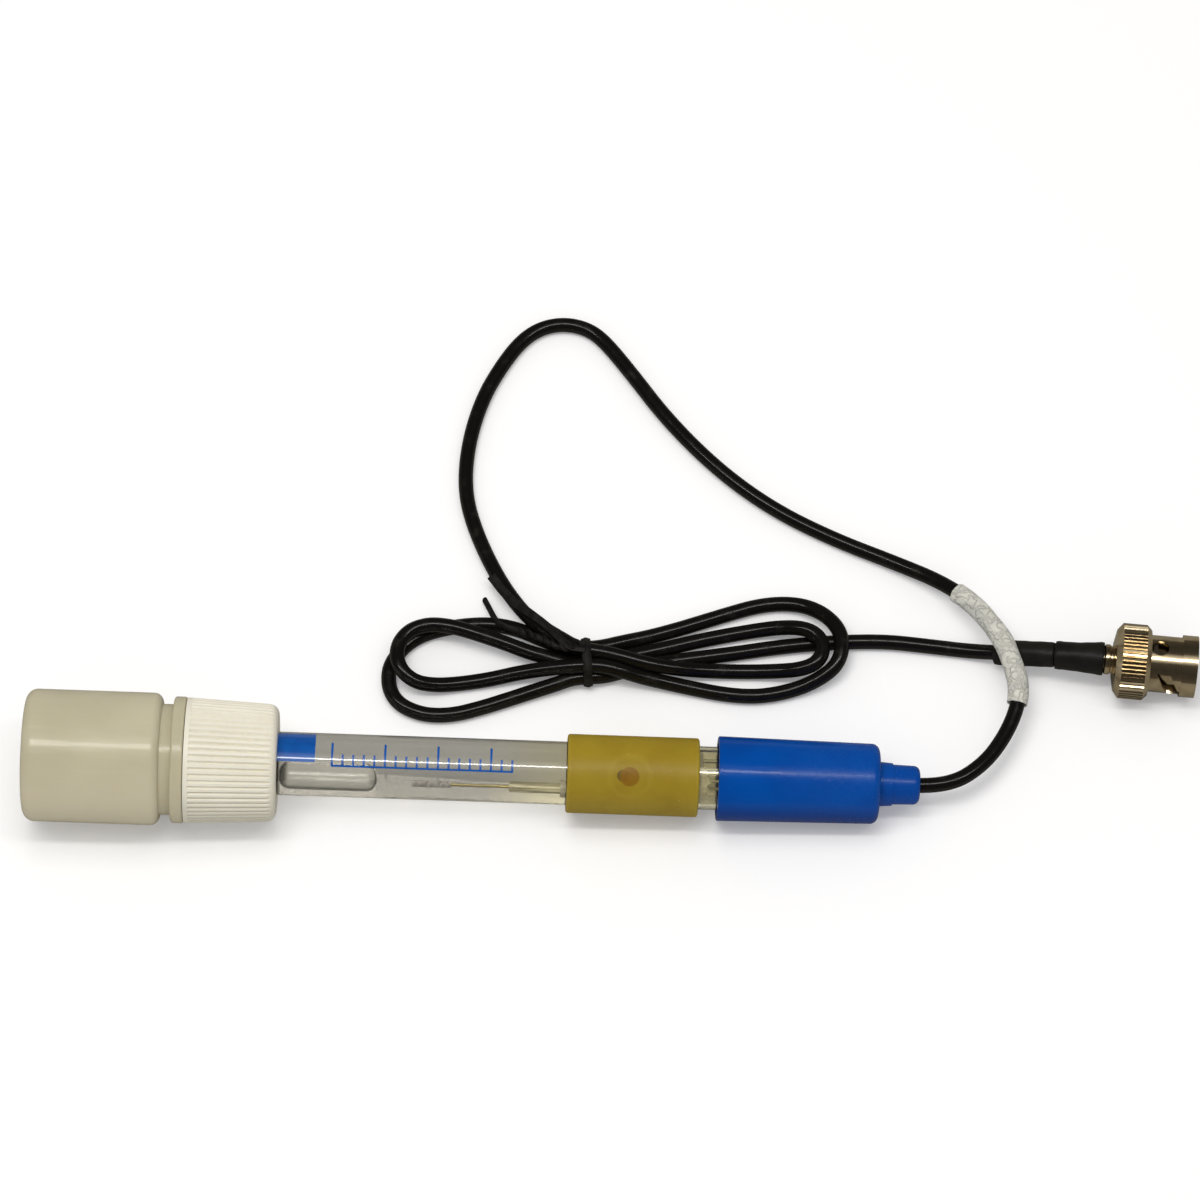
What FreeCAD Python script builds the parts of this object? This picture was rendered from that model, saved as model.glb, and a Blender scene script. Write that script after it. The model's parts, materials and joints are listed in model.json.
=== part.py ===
import FreeCAD, Part
import Sketcher
import math
import os
from FreeCAD import Placement, Rotation, Vector

os.makedirs("parts", exist_ok=True)
doc = FreeCAD.newDocument("reference_electrode")


class Sizes(dict):
    """Named sizes in millimetres and degrees. Each one becomes a cell of the sheet."""

    __getattr__ = dict.__getitem__
    __setattr__ = dict.__setitem__


s = Sizes()

# Clearances
s.slip = 0.02  # glued or cast face to face
s.run = 0.06  # one part slides or turns on another
s.apart = 0.3  # curved faces on parts that move past each other
s.seat = 0.05  # flat faces that meet

# Storage bottle, from its base along the axis
s.bottle_radius = 12.55
s.bottle_wall = 1.0
s.bottle_corner = 2.2
s.bottle_body = 25.8
s.shoulder_round = 1.7
s.groove_radius = 10.5
s.groove_long = 2.2
s.bead_radius = 12.0
s.bead_long = 2.4
s.neck_radius = 10.0
s.neck_wall = 1.7

# Screw cap
s.cap_long = 17.3
s.cap_skirt_wall = 1.6
s.cap_top_wall = 0.8
s.cap_edge_round = 1.9
s.cap_top_thick = 1.8
s.cap_hem = 0.9
s.rib_deep = 0.42
s.rib_gap = 0.72
s.rib_count = 60
s.ring_thick = 2.8
s.washer_thick = 0.8

# Glass electrode
s.tip_clear = 11.2
s.shaft_long = 120.0
s.tube_radius = 6.0
s.tube_wall = 1.0
s.tube_in_head = 12.0
s.tip_round = 5.1
s.junction_radius = 0.6
s.junction_long = 1.4
s.hole_radius = 1.85
s.hole_from_head = 16.8
s.face_turn = 25.0  # roll that brings the refill hole up and to the front

# Inner electrode, beside the tube's axis
s.core_aside = -2.1
s.core_back = -0.6
s.element_from_tip = 62.2
s.element_long = 7.3
s.element_radius = 0.44
s.wire_radius = 0.2
s.sheath_radius = 0.72
s.sheath_bore = 0.32
s.sheath_from_tip = 80.6
s.bead_of_seal_radius = 1.2
s.bead_of_seal_long = 1.0
s.bead_of_seal_from_tip = 90.3
s.bubble_radius = 2.3
s.bubble_long = 18.6
s.bubble_from_tip = 37.0
s.bubble_film = 0.1
s.bubble_turn = 43.0

# Seal and leads at the head end of the glass
s.wad_long = 6.4
s.wad_from_head = 9.2
s.wad_round = 0.8
s.stem_radius = 3.6
s.stem_wall = 0.8
s.stem_in_wad = 3.4
s.lead_radius = 0.3
s.lead_pitch = 1.5
s.solder_radius = 0.55
s.solder_long = 1.6

# Amber sleeve
s.sleeve_long = 25.0
s.sleeve_radius = 7.5
s.sleeve_from_head = 3.6
s.sleeve_edge = 0.5

# Blue head
s.head_long = 30.7
s.head_front_radius = 8.05
s.head_rear_radius = 7.6
s.head_wall = 1.15
s.head_edge = 1.5
s.head_mouth_edge = 0.3
s.head_floor = 3.0
s.boss_long = 7.8
s.boss_root_radius = 4.25
s.boss_step = 2.6
s.boss_tip_radius = 3.65
s.boss_step_deep = 0.25
s.boss_edge = 1.2
s.potting_back = 1.3
s.plug_of_potting = 9.0

# Cable
s.cord_radius = 1.45
s.cord_straight = 6.0
s.plug_straight = 12.3
s.inlet_long = 19.2
s.inlet_back = 0.5
s.clamp_radius = 2.3
s.clamp_long = 4.0
s.clamp_from_end = 2.0
s.label_radius = 1.9
s.label_start = 28.2
s.label_long = 28.3
s.shrink_rear_wall = 0.68
s.shrink_front_wall = 0.27
s.shrink_rear_long = 11.0
s.shrink_front_long = 9.2

# Tied hank
s.hank_x = 21.1
s.hank_y = 26.4
s.hank_turn = 4.95
s.hank_high = 6.3
s.hank_waist = 5.4
s.hank_left_reach = 28.8
s.hank_left_radius = 10.6
s.hank_right_reach = 38.3
s.hank_right_radius = 11.5
s.tie_wide = 1.2
s.tie_thick = 0.9
s.tie_half_inside = 4.5
s.hank_edge = 1.4
s.tie_edge = 1.0

# Bayonet plug, from the back face of the ferrule's bead
s.plug_x = 120.5
s.plug_y = 27.2
s.plug_turn = -4.4
s.crimp_long = 5.2
s.crimp_radius = 2.1
s.ferrule_bead_radius = 2.9
s.ferrule_bead_long = 1.3
s.plug_neck_radius = 2.6
s.plug_neck_long = 2.7
s.plug_flange_radius = 4.5
s.plug_flange_long = 1.5
s.plug_mid_radius = 3.7
s.plug_mid_long = 4.5
s.plug_bore_radius = 2.45
s.core_bore_radius = 1.2
s.contact_radius = 4.0
s.contact_wall = 0.55
s.contact_long = 5.6
s.contact_base = 0.8
s.contact_slit = 0.5
s.contact_slit_count = 4
s.contact_slit_turn = 9.0
s.pin_radius = 0.675
s.pin_shoulder_radius = 0.95
s.pin_free_long = 4.1
s.pin_point = 0.8
s.gasket_thick = 0.85
s.gasket_radius = 4.5
s.nut_long = 16.1
s.nut_back_radius = 3.3
s.nut_back_wall = 0.95
s.knurl_radius = 7.25
s.knurl_from_back = 1.6
s.knurl_long = 4.6
s.knurl_deep = 0.35
s.knurl_gap = 0.55
s.knurl_count = 54
s.knurl_chamfer = 0.9
s.barrel_radius = 5.45
s.nut_bore_radius = 4.9
s.nut_chamber_radius = 5.3
s.nut_ring_radius = 5.95
s.nut_ring_long = 2.9
s.dwell_radius = 1.65
s.dwell_from_front = 7.3
s.dwell_turn = 35.0
s.dwell_count = 2
s.ramp_wide = 2.6
s.ramp_sweep = 60.0
s.ramp_rise = 2.4
s.ramp_behind_dwell = 55.0
s.entry_wide = 2.4
s.entry_deep = 0.7
s.push_travel = 0.5
s.thrust_thick = 0.4
s.spring_thick = 0.25

# Places along the electrode's axis
s.start = 0.0
s.axis = 0.0
s.bottle_bore = s.bottle_radius - s.bottle_wall
s.neck_bore = s.neck_radius - s.neck_wall
s.base_inside = s.bottle_wall
s.bottle_inner_corner = s.bottle_corner - s.bottle_wall
s.body_inside = s.bottle_body - s.bottle_wall
s.groove_end = s.bottle_body + s.groove_long
s.bead_end = s.groove_end + s.bead_long
s.bead_edge = s.bead_long / 5
s.cap_start = s.bead_end + 2 * s.seat
s.cap_end = s.cap_start + s.cap_long
s.cap_inner_top = s.cap_end - s.cap_top_thick
s.cap_inner_radius = s.neck_radius + s.apart
s.cap_skirt_radius = s.cap_inner_radius + s.cap_skirt_wall
s.cap_top_radius = s.cap_inner_radius + s.cap_top_wall
s.cap_hole_radius = s.tube_radius + s.apart
s.cap_slope = (s.cap_skirt_radius - s.cap_top_radius) / s.cap_long
s.rib_start = s.cap_start + s.cap_hem
s.rib_root_start = s.cap_skirt_radius - s.cap_slope * s.cap_hem - s.rib_deep
s.rib_crest_start = s.rib_root_start + 2 * s.rib_deep
s.rib_root_end = s.cap_top_radius - s.rib_deep
s.rib_crest_end = s.rib_root_end + 2 * s.rib_deep
s.washer_end = s.cap_inner_top - s.seat
s.washer_start = s.washer_end - s.washer_thick
s.washer_radius = s.cap_inner_radius - s.apart
s.washer_bore = s.tube_radius + s.apart
s.ring_section = s.ring_thick / 2
s.ring_middle = s.washer_start - s.slip - s.ring_section
s.ring_radius = s.tube_radius + s.run + s.ring_section
s.neck_end = s.ring_middle - s.ring_section - s.apart

s.tube_tip = s.tip_clear
s.head_face = s.tube_tip + s.shaft_long
s.tube_end = s.head_face + s.tube_in_head
s.tube_bore = s.tube_radius - s.tube_wall
s.tip_inside = s.tube_tip + s.tube_wall
s.tip_inner_round = s.tip_round - s.tube_wall
s.junction_bore = s.junction_radius + s.slip
s.junction_room_end = s.tip_clear + s.junction_long + s.slip
s.fill_hole = s.head_face - s.hole_from_head
s.junction_end = s.tube_tip + s.junction_long

s.wad_start = s.head_face - s.wad_from_head
s.wad_end = s.wad_start + s.wad_long
s.fill_radius = s.tube_bore - s.slip
s.fill_start = s.tip_inside + s.slip
s.fill_end = s.wad_start - s.slip
s.fill_round = s.tip_inner_round - s.slip
s.bubble_start = s.tube_tip + s.bubble_from_tip
s.bubble_end = s.bubble_start + s.bubble_long
s.bubble_round = 0.9 * s.bubble_radius
s.bubble_aside = s.fill_radius - s.bubble_film - s.bubble_radius
s.element_start = s.tube_tip + s.element_from_tip
s.element_end = s.element_start + s.element_long
s.wire_start = s.element_end + s.slip
s.sheath_start = s.tube_tip + s.sheath_from_tip
s.stem_start = s.wad_end - s.stem_in_wad
s.sheath_end = s.stem_start - s.lead_radius
s.stem_bore = s.stem_radius - s.stem_wall
s.seal_start = s.tube_tip + s.bead_of_seal_from_tip
s.seal_end = s.seal_start + s.bead_of_seal_long
s.seal_bore = s.sheath_radius + s.slip
s.element_room = s.element_radius + s.slip
s.wire_room = s.wire_radius + s.slip
s.sheath_room = s.sheath_radius + s.slip
s.seal_room = s.bead_of_seal_radius + s.slip
s.element_room_start = s.element_start - s.slip
s.element_room_end = s.element_end + s.slip
s.sheath_room_start = s.sheath_start - s.slip
s.sheath_room_end = s.sheath_end + s.slip
s.seal_room_start = s.seal_start - s.slip
s.seal_room_end = s.seal_end + s.slip
s.stem_room = s.stem_radius + s.slip
s.stem_room_start = s.stem_start - s.slip
s.solder_end = s.wad_end - s.lead_radius
s.solder_start = s.solder_end - s.solder_long
s.wire_end = (s.solder_start + s.solder_end) / 2
s.lead_room = s.lead_radius + s.slip
s.signal_start = s.wire_end + s.slip
s.screen_aside = s.core_aside + s.lead_pitch
s.drain_aside = s.core_aside + 2 * s.lead_pitch

s.sleeve_end = s.head_face - s.sleeve_from_head
s.sleeve_start = s.sleeve_end - s.sleeve_long
s.sleeve_bore = s.tube_radius + s.run

s.head_end = s.head_face + s.head_long
s.boss_step_end = s.head_end + s.boss_step
s.boss_end = s.head_end + s.boss_long
s.boss_slope = (s.boss_root_radius - s.boss_tip_radius) / s.boss_long
s.boss_shoulder_radius = s.boss_root_radius - s.boss_slope * s.boss_step
s.boss_waist_radius = s.boss_shoulder_radius - s.boss_step_deep
s.head_inside_end = s.head_end - s.head_floor
s.head_mouth_radius = s.head_front_radius - s.head_wall
s.head_back_radius = s.head_rear_radius - s.head_wall
s.head_slope = (s.head_front_radius - s.head_rear_radius) / s.head_long
s.inlet_bore = s.cord_radius + s.slip
s.potting_start = s.head_face + s.potting_back
s.potting_end = s.head_inside_end - s.slip
s.potting_front_radius = (
    s.head_mouth_radius
    + (s.head_back_radius - s.head_mouth_radius)
    * s.potting_back
    / (s.head_inside_end - s.head_face)
    - s.slip
)
s.potting_back_radius = s.head_back_radius - s.slip
s.potting_on_tube = s.tube_radius + s.slip
s.potting_behind_tube = s.tube_end + s.slip
s.potting_plug_start = s.tube_end - s.plug_of_potting
s.stem_end = s.tube_end - s.tube_wall
s.stem_room_end = s.stem_end + s.slip
s.inlet_end = s.boss_end - s.inlet_back
s.inlet_start = s.boss_end - s.inlet_long
s.clamp_start = s.inlet_start + s.clamp_from_end
s.clamp_end = s.clamp_start + s.clamp_long
s.lead_end = s.inlet_start - s.slip
s.clamp_room = s.clamp_radius + s.slip
s.clamp_room_start = s.clamp_start - s.slip
s.clamp_room_end = s.clamp_end + s.slip

# Tie and the room for it round the hank's waist
s.tie_half = s.tie_half_inside + s.tie_thick
s.tie_inner_top = s.hank_high + s.slip
s.tie_top = s.tie_inner_top + s.tie_thick
s.tie_room_wide = s.tie_wide + 2 * s.slip
s.tie_room_half = s.hank_waist + s.apart
s.tie_core_half = s.tie_half_inside - s.slip
s.tie_core_base = s.tie_thick + s.slip

# Places along the plug's axis
s.crimp_start = -s.crimp_long
s.ferrule_end = s.ferrule_bead_long
s.ferrule_edge = s.ferrule_bead_long / 3
s.cord_hole = s.cord_radius + s.slip
s.cord_end = s.ferrule_end - s.apart
s.shrink_rear_radius = s.cord_hole + s.shrink_rear_wall
s.shrink_front_bore = max(s.crimp_radius, s.shrink_rear_radius) + s.slip
s.shrink_front_radius = s.shrink_front_bore + s.shrink_front_wall
s.plug_body_start = s.ferrule_end + s.slip
s.flange_start = s.plug_body_start + s.plug_neck_long
s.flange_end = s.flange_start + s.plug_flange_long
s.mid_end = s.flange_end + s.plug_mid_long
s.plug_bore_start = s.flange_start + s.apart
s.contact_start = s.mid_end + s.slip
s.contact_base_end = s.contact_start + s.contact_base
s.contact_end = s.contact_start + s.contact_long
s.contact_bore = s.contact_radius - s.contact_wall
s.insulator_radius = s.plug_bore_radius - s.slip
s.insulator_start = s.plug_bore_start + s.slip
s.insulator_end = s.contact_base_end
s.pin_shoulder_start = s.insulator_start
s.pin_shoulder_end = s.insulator_end
s.pin_socket_radius = s.pin_shoulder_radius + s.slip
s.slit_start = s.contact_base_end + s.apart
s.slit_end = s.contact_end + s.apart
s.slit_half = s.contact_slit / 2
s.pin_cone_start = s.pin_shoulder_end + s.pin_free_long - s.pin_point
s.pin_end = s.pin_shoulder_end + s.pin_free_long
s.pin_tip_radius = s.pin_radius / 2
s.gasket_end = s.mid_end - s.slip
s.gasket_start = s.gasket_end - s.gasket_thick
s.gasket_bore = s.plug_mid_radius + s.slip
s.nut_start = s.ferrule_end + s.apart
s.nut_wall_end = s.nut_start + s.nut_back_wall
s.nut_end = s.nut_start + s.nut_long
s.nut_hole_radius = s.plug_neck_radius + s.run
s.knurl_start = s.nut_start + s.knurl_from_back
s.knurl_end = s.knurl_start + s.knurl_long
s.knurl_chamfer_end = s.knurl_end + s.knurl_chamfer
s.knurl_chamfer_radius = s.knurl_radius - s.knurl_chamfer
s.dome_radius = (2 * s.knurl_radius + s.nut_back_radius) / 3
s.dome_end = s.nut_start + s.knurl_from_back / 3
s.chamber_end = s.flange_end + s.push_travel + s.apart
s.nut_ring_start = s.nut_end - s.nut_ring_long
s.knurl_root = s.knurl_radius - s.knurl_deep
s.knurl_crest = s.knurl_radius + s.knurl_deep
s.dwell_place = s.nut_end - s.dwell_from_front
s.ramp_half = s.ramp_wide / 2
s.ramp_inner = (s.nut_bore_radius + s.plug_mid_radius) / 2
s.ramp_outer = s.barrel_radius + s.apart
s.ramp_near = s.dwell_place - s.dwell_radius + s.ramp_half
s.ramp_far = s.ramp_near + s.ramp_wide
s.entry_start = s.ramp_near + s.ramp_rise
s.entry_end = s.nut_end + s.apart
s.entry_half = s.entry_wide / 2
s.entry_reach = s.nut_bore_radius + s.entry_deep
s.thrust_start = s.nut_wall_end + s.seat
s.thrust_end = s.thrust_start + s.thrust_thick
s.thrust_bore = s.plug_neck_radius + s.run
s.thrust_radius = s.nut_chamber_radius - s.apart
s.spring_start = s.thrust_end + s.push_travel + s.seat
s.spring_end = s.flange_start - s.seat
s.spring_face_start = s.spring_start + s.spring_thick
s.spring_face_end = s.spring_end - s.spring_thick
s.spring_bore = s.plug_neck_radius + s.apart
s.spring_radius = s.plug_flange_radius

sheet = doc.addObject("Spreadsheet::Sheet", "Sizes")
for row, (name, value) in enumerate(s.items(), start=1):
    sheet.set(f"A{row}", name)
    sheet.set(f"B{row}", repr(float(value)))
    sheet.setAlias(f"B{row}", name)
doc.recompute()

# It lies on the bottle's shoulder at one end and on the head's rear edge at the other
shoulder_rise = s.bottle_radius - s.shoulder_round
edge_rise = (
    s.head_rear_radius + s.head_slope * s.head_edge - s.head_edge * math.hypot(1, s.head_slope)
)
rest_long = (s.head_end - s.head_edge) - (s.bottle_body - s.shoulder_round)
tilt = math.atan2(shoulder_rise - edge_rise, rest_long) + math.asin(
    (s.shoulder_round - s.head_edge) / math.hypot(rest_long, shoulder_rise - edge_rise)
)
lift = (
    s.shoulder_round
    + (s.bottle_body - s.shoulder_round) * math.sin(tilt)
    + shoulder_rise * math.cos(tilt)
)
base_reach = (
    s.bottle_corner * math.cos(tilt)
    - (s.bottle_radius - s.bottle_corner) * math.sin(tilt)
    - s.bottle_corner
)
boss_reach = (
    (s.boss_end - s.boss_edge) * math.cos(tilt)
    + (s.boss_tip_radius - s.boss_edge) * math.sin(tilt)
    + s.boss_edge
)
shift = -(base_reach + boss_reach) / 2
LYING = Placement(Vector(shift, 0, lift), Rotation(Vector(0, 1, 0), math.degrees(tilt)))
ELECTRODE = LYING * Placement(Vector(), Rotation(Vector(1, 0, 0), s.face_turn))


def cell(name):
    return f"Sizes.{name}"


def origin_plane(body, role):
    return next(part for part in body.Origin.OriginFeatures if part.Role == role)


def new_body(label, placement):
    body = doc.addObject("PartDesign::Body", label)
    body.Label = label
    body.Placement = placement
    return body


def sketch_on(body, role, name, offset=None):
    sketch = body.newObject("Sketcher::SketchObject", f"{body.Name}_{name}")
    sketch.AttachmentSupport = (origin_plane(body, role), [""])
    sketch.MapMode = "FlatFace"
    if offset:
        sketch.AttachmentOffset = offset
    return sketch


def outline(sketch, corners):
    """A closed outline of straight lines. Each corner is two cell names, or plus or minus one."""

    def read(name):
        return -s[name[1:]] if name.startswith("-") else s[name]

    def link(name):
        return "-" + cell(name[1:]) if name.startswith("-") else cell(name)

    points = [Vector(read(x), read(y), 0) for x, y in corners]
    count = len(points)
    first = sketch.GeometryCount
    for k in range(count):
        sketch.addGeometry(Part.LineSegment(points[k], points[(k + 1) % count]), False)
    for k in range(count):
        following = first + (k + 1) % count
        sketch.addConstraint(Sketcher.Constraint("Coincident", first + k, 2, following, 1))
    for k, (x, y) in enumerate(corners, start=first):
        point = points[k - first]
        for direction, name, value in (("DistanceX", x, point.x), ("DistanceY", y, point.y)):
            if name == "axis":
                line = -1 if direction == "DistanceY" else -2
                sketch.addConstraint(Sketcher.Constraint("PointOnObject", k, 1, line))
                continue
            place = sketch.addConstraint(Sketcher.Constraint(direction, -1, 1, k, 1, value))
            sketch.renameConstraint(place, f"{direction}{k}")
            sketch.setExpression(f"Constraints.{direction}{k}", link(name))


def turned(label, placement, corners, rounds=()):
    """A body turned about its own X axis. Each round is a corner's two cell names and its radius."""
    body = new_body(label, placement)
    sketch = sketch_on(body, "XY_Plane", "section")
    outline(sketch, corners)
    turn = body.newObject("PartDesign::Revolution", f"{label}_turn")
    turn.Profile = sketch
    turn.ReferenceAxis = (sketch, ["H_Axis"])
    turn.Angle = 360
    body.Tip = turn
    doc.recompute()
    for k, (x, y, radius) in enumerate(rounds):
        base = body.Tip
        names = [
            f"Edge{n}"
            for n, edge in enumerate(base.Shape.Edges, start=1)
            if isinstance(edge.Curve, Part.Circle)
            and abs(edge.Curve.Radius - s[y]) < 1e-4
            and abs(edge.Curve.Center.x - s[x]) < 1e-4
        ]
        fillet = body.newObject("PartDesign::Fillet", f"{label}_round{k}")
        fillet.Base = (base, names)
        fillet.Radius = s[radius]
        fillet.setExpression("Radius", cell(radius))
        body.Tip = fillet
        doc.recompute()
    return body


def ring_between(label, placement, start, end, bore, radius, rounds=()):
    """A plain turned ring or tube between two places on the axis."""
    corners = [(start, bore), (start, radius), (end, radius), (end, bore)]
    return turned(label, placement, corners, rounds)


def around_axis(body, feature, name, count):
    """Copies a feature evenly round the body's X axis."""
    pattern = body.newObject("PartDesign::PolarPattern", f"{body.Name}_{name}")
    pattern.Originals = [feature]
    pattern.Axis = (origin_plane(body, "X_Axis"), [""])
    pattern.Angle = 360
    pattern.Occurrences = int(s[count])
    pattern.setExpression("Occurrences", cell(count))
    body.Tip = pattern
    doc.recompute()
    return pattern


def rod(label, placement, start, end, radius, aside="axis", back="axis"):
    """A round rod along X between two places, beside the axis where that is given."""
    part = doc.addObject("Part::Cylinder", label)
    part.Label = label
    part.setExpression("Radius", cell(radius))
    part.setExpression("Height", f"{cell(end)} - {cell(start)}")
    along = Placement(Vector(s[start], s[aside], s[back]), Rotation(Vector(0, 1, 0), 90))
    part.Placement = placement * along
    return part


def minus(label, base, tools):
    """The base with the tools taken out. The base keeps its own name with _blank added."""
    base.Label = f"{label}_blank"
    group = tools[0]
    if len(tools) > 1:
        group = doc.addObject("Part::MultiFuse", f"{label}_tools")
        group.Shapes = tools
    cut = doc.addObject("Part::Cut", f"{label}_cut")
    cut.Base = base
    cut.Tool = group
    cut.Label = label
    doc.recompute()
    return cut


def cutter_sketch(body, name, corners, role="XY_Plane", start=None, roll=0):
    """An outline on one of the body's planes, moved along its normal or rolled about the X axis."""
    sketch = sketch_on(body, role, name, Placement(Vector(), Rotation(Vector(1, 0, 0), roll)))
    if start:
        sketch.AttachmentOffset = Placement(Vector(0, 0, s[start]), Rotation())
        sketch.setExpression("AttachmentOffset.Base.z", cell(start))
    outline(sketch, corners)
    return sketch


def round_hole(body, name, place, radius, roll=0):
    """A round hole from the axis out through one side, at a place along the axis."""
    sketch = sketch_on(body, "XY_Plane", name, Placement(Vector(), Rotation(Vector(1, 0, 0), roll)))
    sketch.addGeometry(Part.Circle(Vector(s[place], 0, 0), Vector(0, 0, 1), s[radius]), False)
    sketch.addConstraint(Sketcher.Constraint("PointOnObject", 0, 3, -1))
    at = sketch.addConstraint(Sketcher.Constraint("DistanceX", -1, 1, 0, 3, s[place]))
    sketch.renameConstraint(at, "place")
    sketch.setExpression("Constraints.place", cell(place))
    bore = sketch.addConstraint(Sketcher.Constraint("Radius", 0, s[radius]))
    sketch.renameConstraint(bore, "bore")
    sketch.setExpression("Constraints.bore", cell(radius))
    return cut_upward(body, sketch, f"{name}_cut")


def cut_upward(body, sketch, name, reach=None):
    """A pocket from the plane through the axis towards the body's Z, through all unless limited."""
    before = body.Tip.Shape.Volume
    pocket = body.newObject("PartDesign::Pocket", f"{body.Name}_{name}")
    pocket.Profile = sketch
    pocket.Reversed = True
    pocket.Type = "Length" if reach else "ThroughAll"
    if reach:
        pocket.Length = s[reach]
        pocket.setExpression("Length", cell(reach))
    body.Tip = pocket
    doc.recompute()
    print(f"{body.Name} {name} takes {before - pocket.Shape.Volume:.2f} mm3")
    return pocket


def grooves(body, name, places, roots, crests, half_gap, count):
    """V grooves along the body's side, lofted between two triangles and repeated round it."""
    ends = []
    for k in (0, 1):
        corners = [("axis", roots[k]), (half_gap, crests[k]), (f"-{half_gap}", crests[k])]
        ends.append(cutter_sketch(body, f"{name}_end{k}", corners, "YZ_Plane", places[k]))
    doc.recompute()
    before = body.Tip.Shape.Volume
    loft = body.newObject("PartDesign::SubtractiveLoft", f"{body.Name}_{name}")
    loft.Profile = ends[0]
    loft.Sections = [ends[1]]
    loft.Ruled = True
    body.Tip = loft
    doc.recompute()
    pattern = around_axis(body, loft, f"{name}_all", count)
    print(f"{body.Name} {name} take {before - pattern.Shape.Volume:.2f} mm3")


# Storage bottle, cap, washer and ring
bottle = turned(
    "storage_bottle",
    ELECTRODE,
    [
        ("start", "axis"),
        ("start", "bottle_radius"),
        ("bottle_body", "bottle_radius"),
        ("bottle_body", "groove_radius"),
        ("groove_end", "groove_radius"),
        ("groove_end", "bead_radius"),
        ("bead_end", "bead_radius"),
        ("bead_end", "neck_radius"),
        ("neck_end", "neck_radius"),
        ("neck_end", "neck_bore"),
        ("body_inside", "neck_bore"),
        ("body_inside", "bottle_bore"),
        ("base_inside", "bottle_bore"),
        ("base_inside", "axis"),
    ],
    [
        ("start", "bottle_radius", "bottle_corner"),
        ("bottle_body", "bottle_radius", "shoulder_round"),
        ("groove_end", "bead_radius", "bead_edge"),
        ("bead_end", "bead_radius", "bead_edge"),
        ("base_inside", "bottle_bore", "bottle_inner_corner"),
    ],
)
cap = turned(
    "storage_cap",
    ELECTRODE,
    [
        ("cap_start", "cap_inner_radius"),
        ("cap_start", "cap_skirt_radius"),
        ("cap_end", "cap_top_radius"),
        ("cap_end", "cap_hole_radius"),
        ("cap_inner_top", "cap_hole_radius"),
        ("cap_inner_top", "cap_inner_radius"),
    ],
    [("cap_end", "cap_top_radius", "cap_edge_round")],
)
grooves(
    cap,
    "ribs",
    ("rib_start", "cap_end"),
    ("rib_root_start", "rib_root_end"),
    ("rib_crest_start", "rib_crest_end"),
    "rib_gap",
    "rib_count",
)
washer = ring_between(
    "slip_washer", ELECTRODE, "washer_start", "washer_end", "washer_bore", "washer_radius"
)
ring = doc.addObject("Part::Torus", "cap_o_ring")
ring.Label = "cap_o_ring"
ring.setExpression("Radius1", cell("ring_radius"))
ring.setExpression("Radius2", cell("ring_section"))
ring.Placement = ELECTRODE * Placement(Vector(s.ring_middle, 0, 0), Rotation(Vector(0, 1, 0), 90))

# Glass tube with its junction, fill and inner electrode
CORE = ELECTRODE * Placement(Vector(0, s.core_aside, s.core_back), Rotation())
lean = math.radians(s.bubble_turn)
BUBBLE = ELECTRODE * Placement(
    Vector(0, -s.bubble_aside * math.sin(lean), s.bubble_aside * math.cos(lean)), Rotation()
)

glass = turned(
    "glass_body",
    ELECTRODE,
    [
        ("tube_tip", "junction_bore"),
        ("tube_tip", "tube_radius"),
        ("tube_end", "tube_radius"),
        ("tube_end", "tube_bore"),
        ("tip_inside", "tube_bore"),
        ("tip_inside", "junction_bore"),
    ],
    [
        ("tube_tip", "tube_radius", "tip_round"),
        ("tip_inside", "tube_bore", "tip_inner_round"),
    ],
)
round_hole(glass, "refill_hole", "fill_hole", "hole_radius")

junction = rod("ceramic_junction", ELECTRODE, "tube_tip", "junction_end", "junction_radius")
element = rod("chloride_element", CORE, "element_start", "element_end", "element_radius")
wire = rod("silver_wire", CORE, "wire_start", "wire_end", "wire_radius")
sheath = ring_between(
    "sheath_tube", CORE, "sheath_start", "sheath_end", "sheath_bore", "sheath_radius"
)
bead = ring_between(
    "sheath_seal", CORE, "seal_start", "seal_end", "seal_bore", "bead_of_seal_radius"
)
solder = turned(
    "solder_joint",
    CORE,
    [
        ("solder_start", "wire_room"),
        ("solder_start", "solder_radius"),
        ("solder_end", "solder_radius"),
        ("solder_end", "lead_room"),
        ("wire_end", "lead_room"),
        ("wire_end", "wire_room"),
    ],
)
signal = rod("signal_lead", CORE, "signal_start", "lead_end", "lead_radius")
screen = rod(
    "screen_lead", ELECTRODE, "stem_start", "lead_end", "lead_radius", "screen_aside", "core_back"
)
drain = rod(
    "drain_lead", ELECTRODE, "stem_start", "lead_end", "lead_radius", "drain_aside", "core_back"
)
stem = ring_between("inner_stem", ELECTRODE, "stem_start", "stem_end", "stem_bore", "stem_radius")

wad_blank = turned(
    "seal_wad",
    ELECTRODE,
    [
        ("wad_start", "axis"),
        ("wad_start", "fill_radius"),
        ("wad_end", "fill_radius"),
        ("wad_end", "axis"),
    ],
    [("wad_end", "fill_radius", "wad_round")],
)
wad = minus(
    "seal_wad",
    wad_blank,
    [
        rod("wad_stem_room", ELECTRODE, "stem_room_start", "tube_end", "stem_room"),
        rod("wad_sheath_room", CORE, "fill_end", "sheath_room_end", "sheath_room"),
        rod("wad_wire_room", CORE, "fill_end", "stem_start", "wire_room"),
    ],
)

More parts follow.
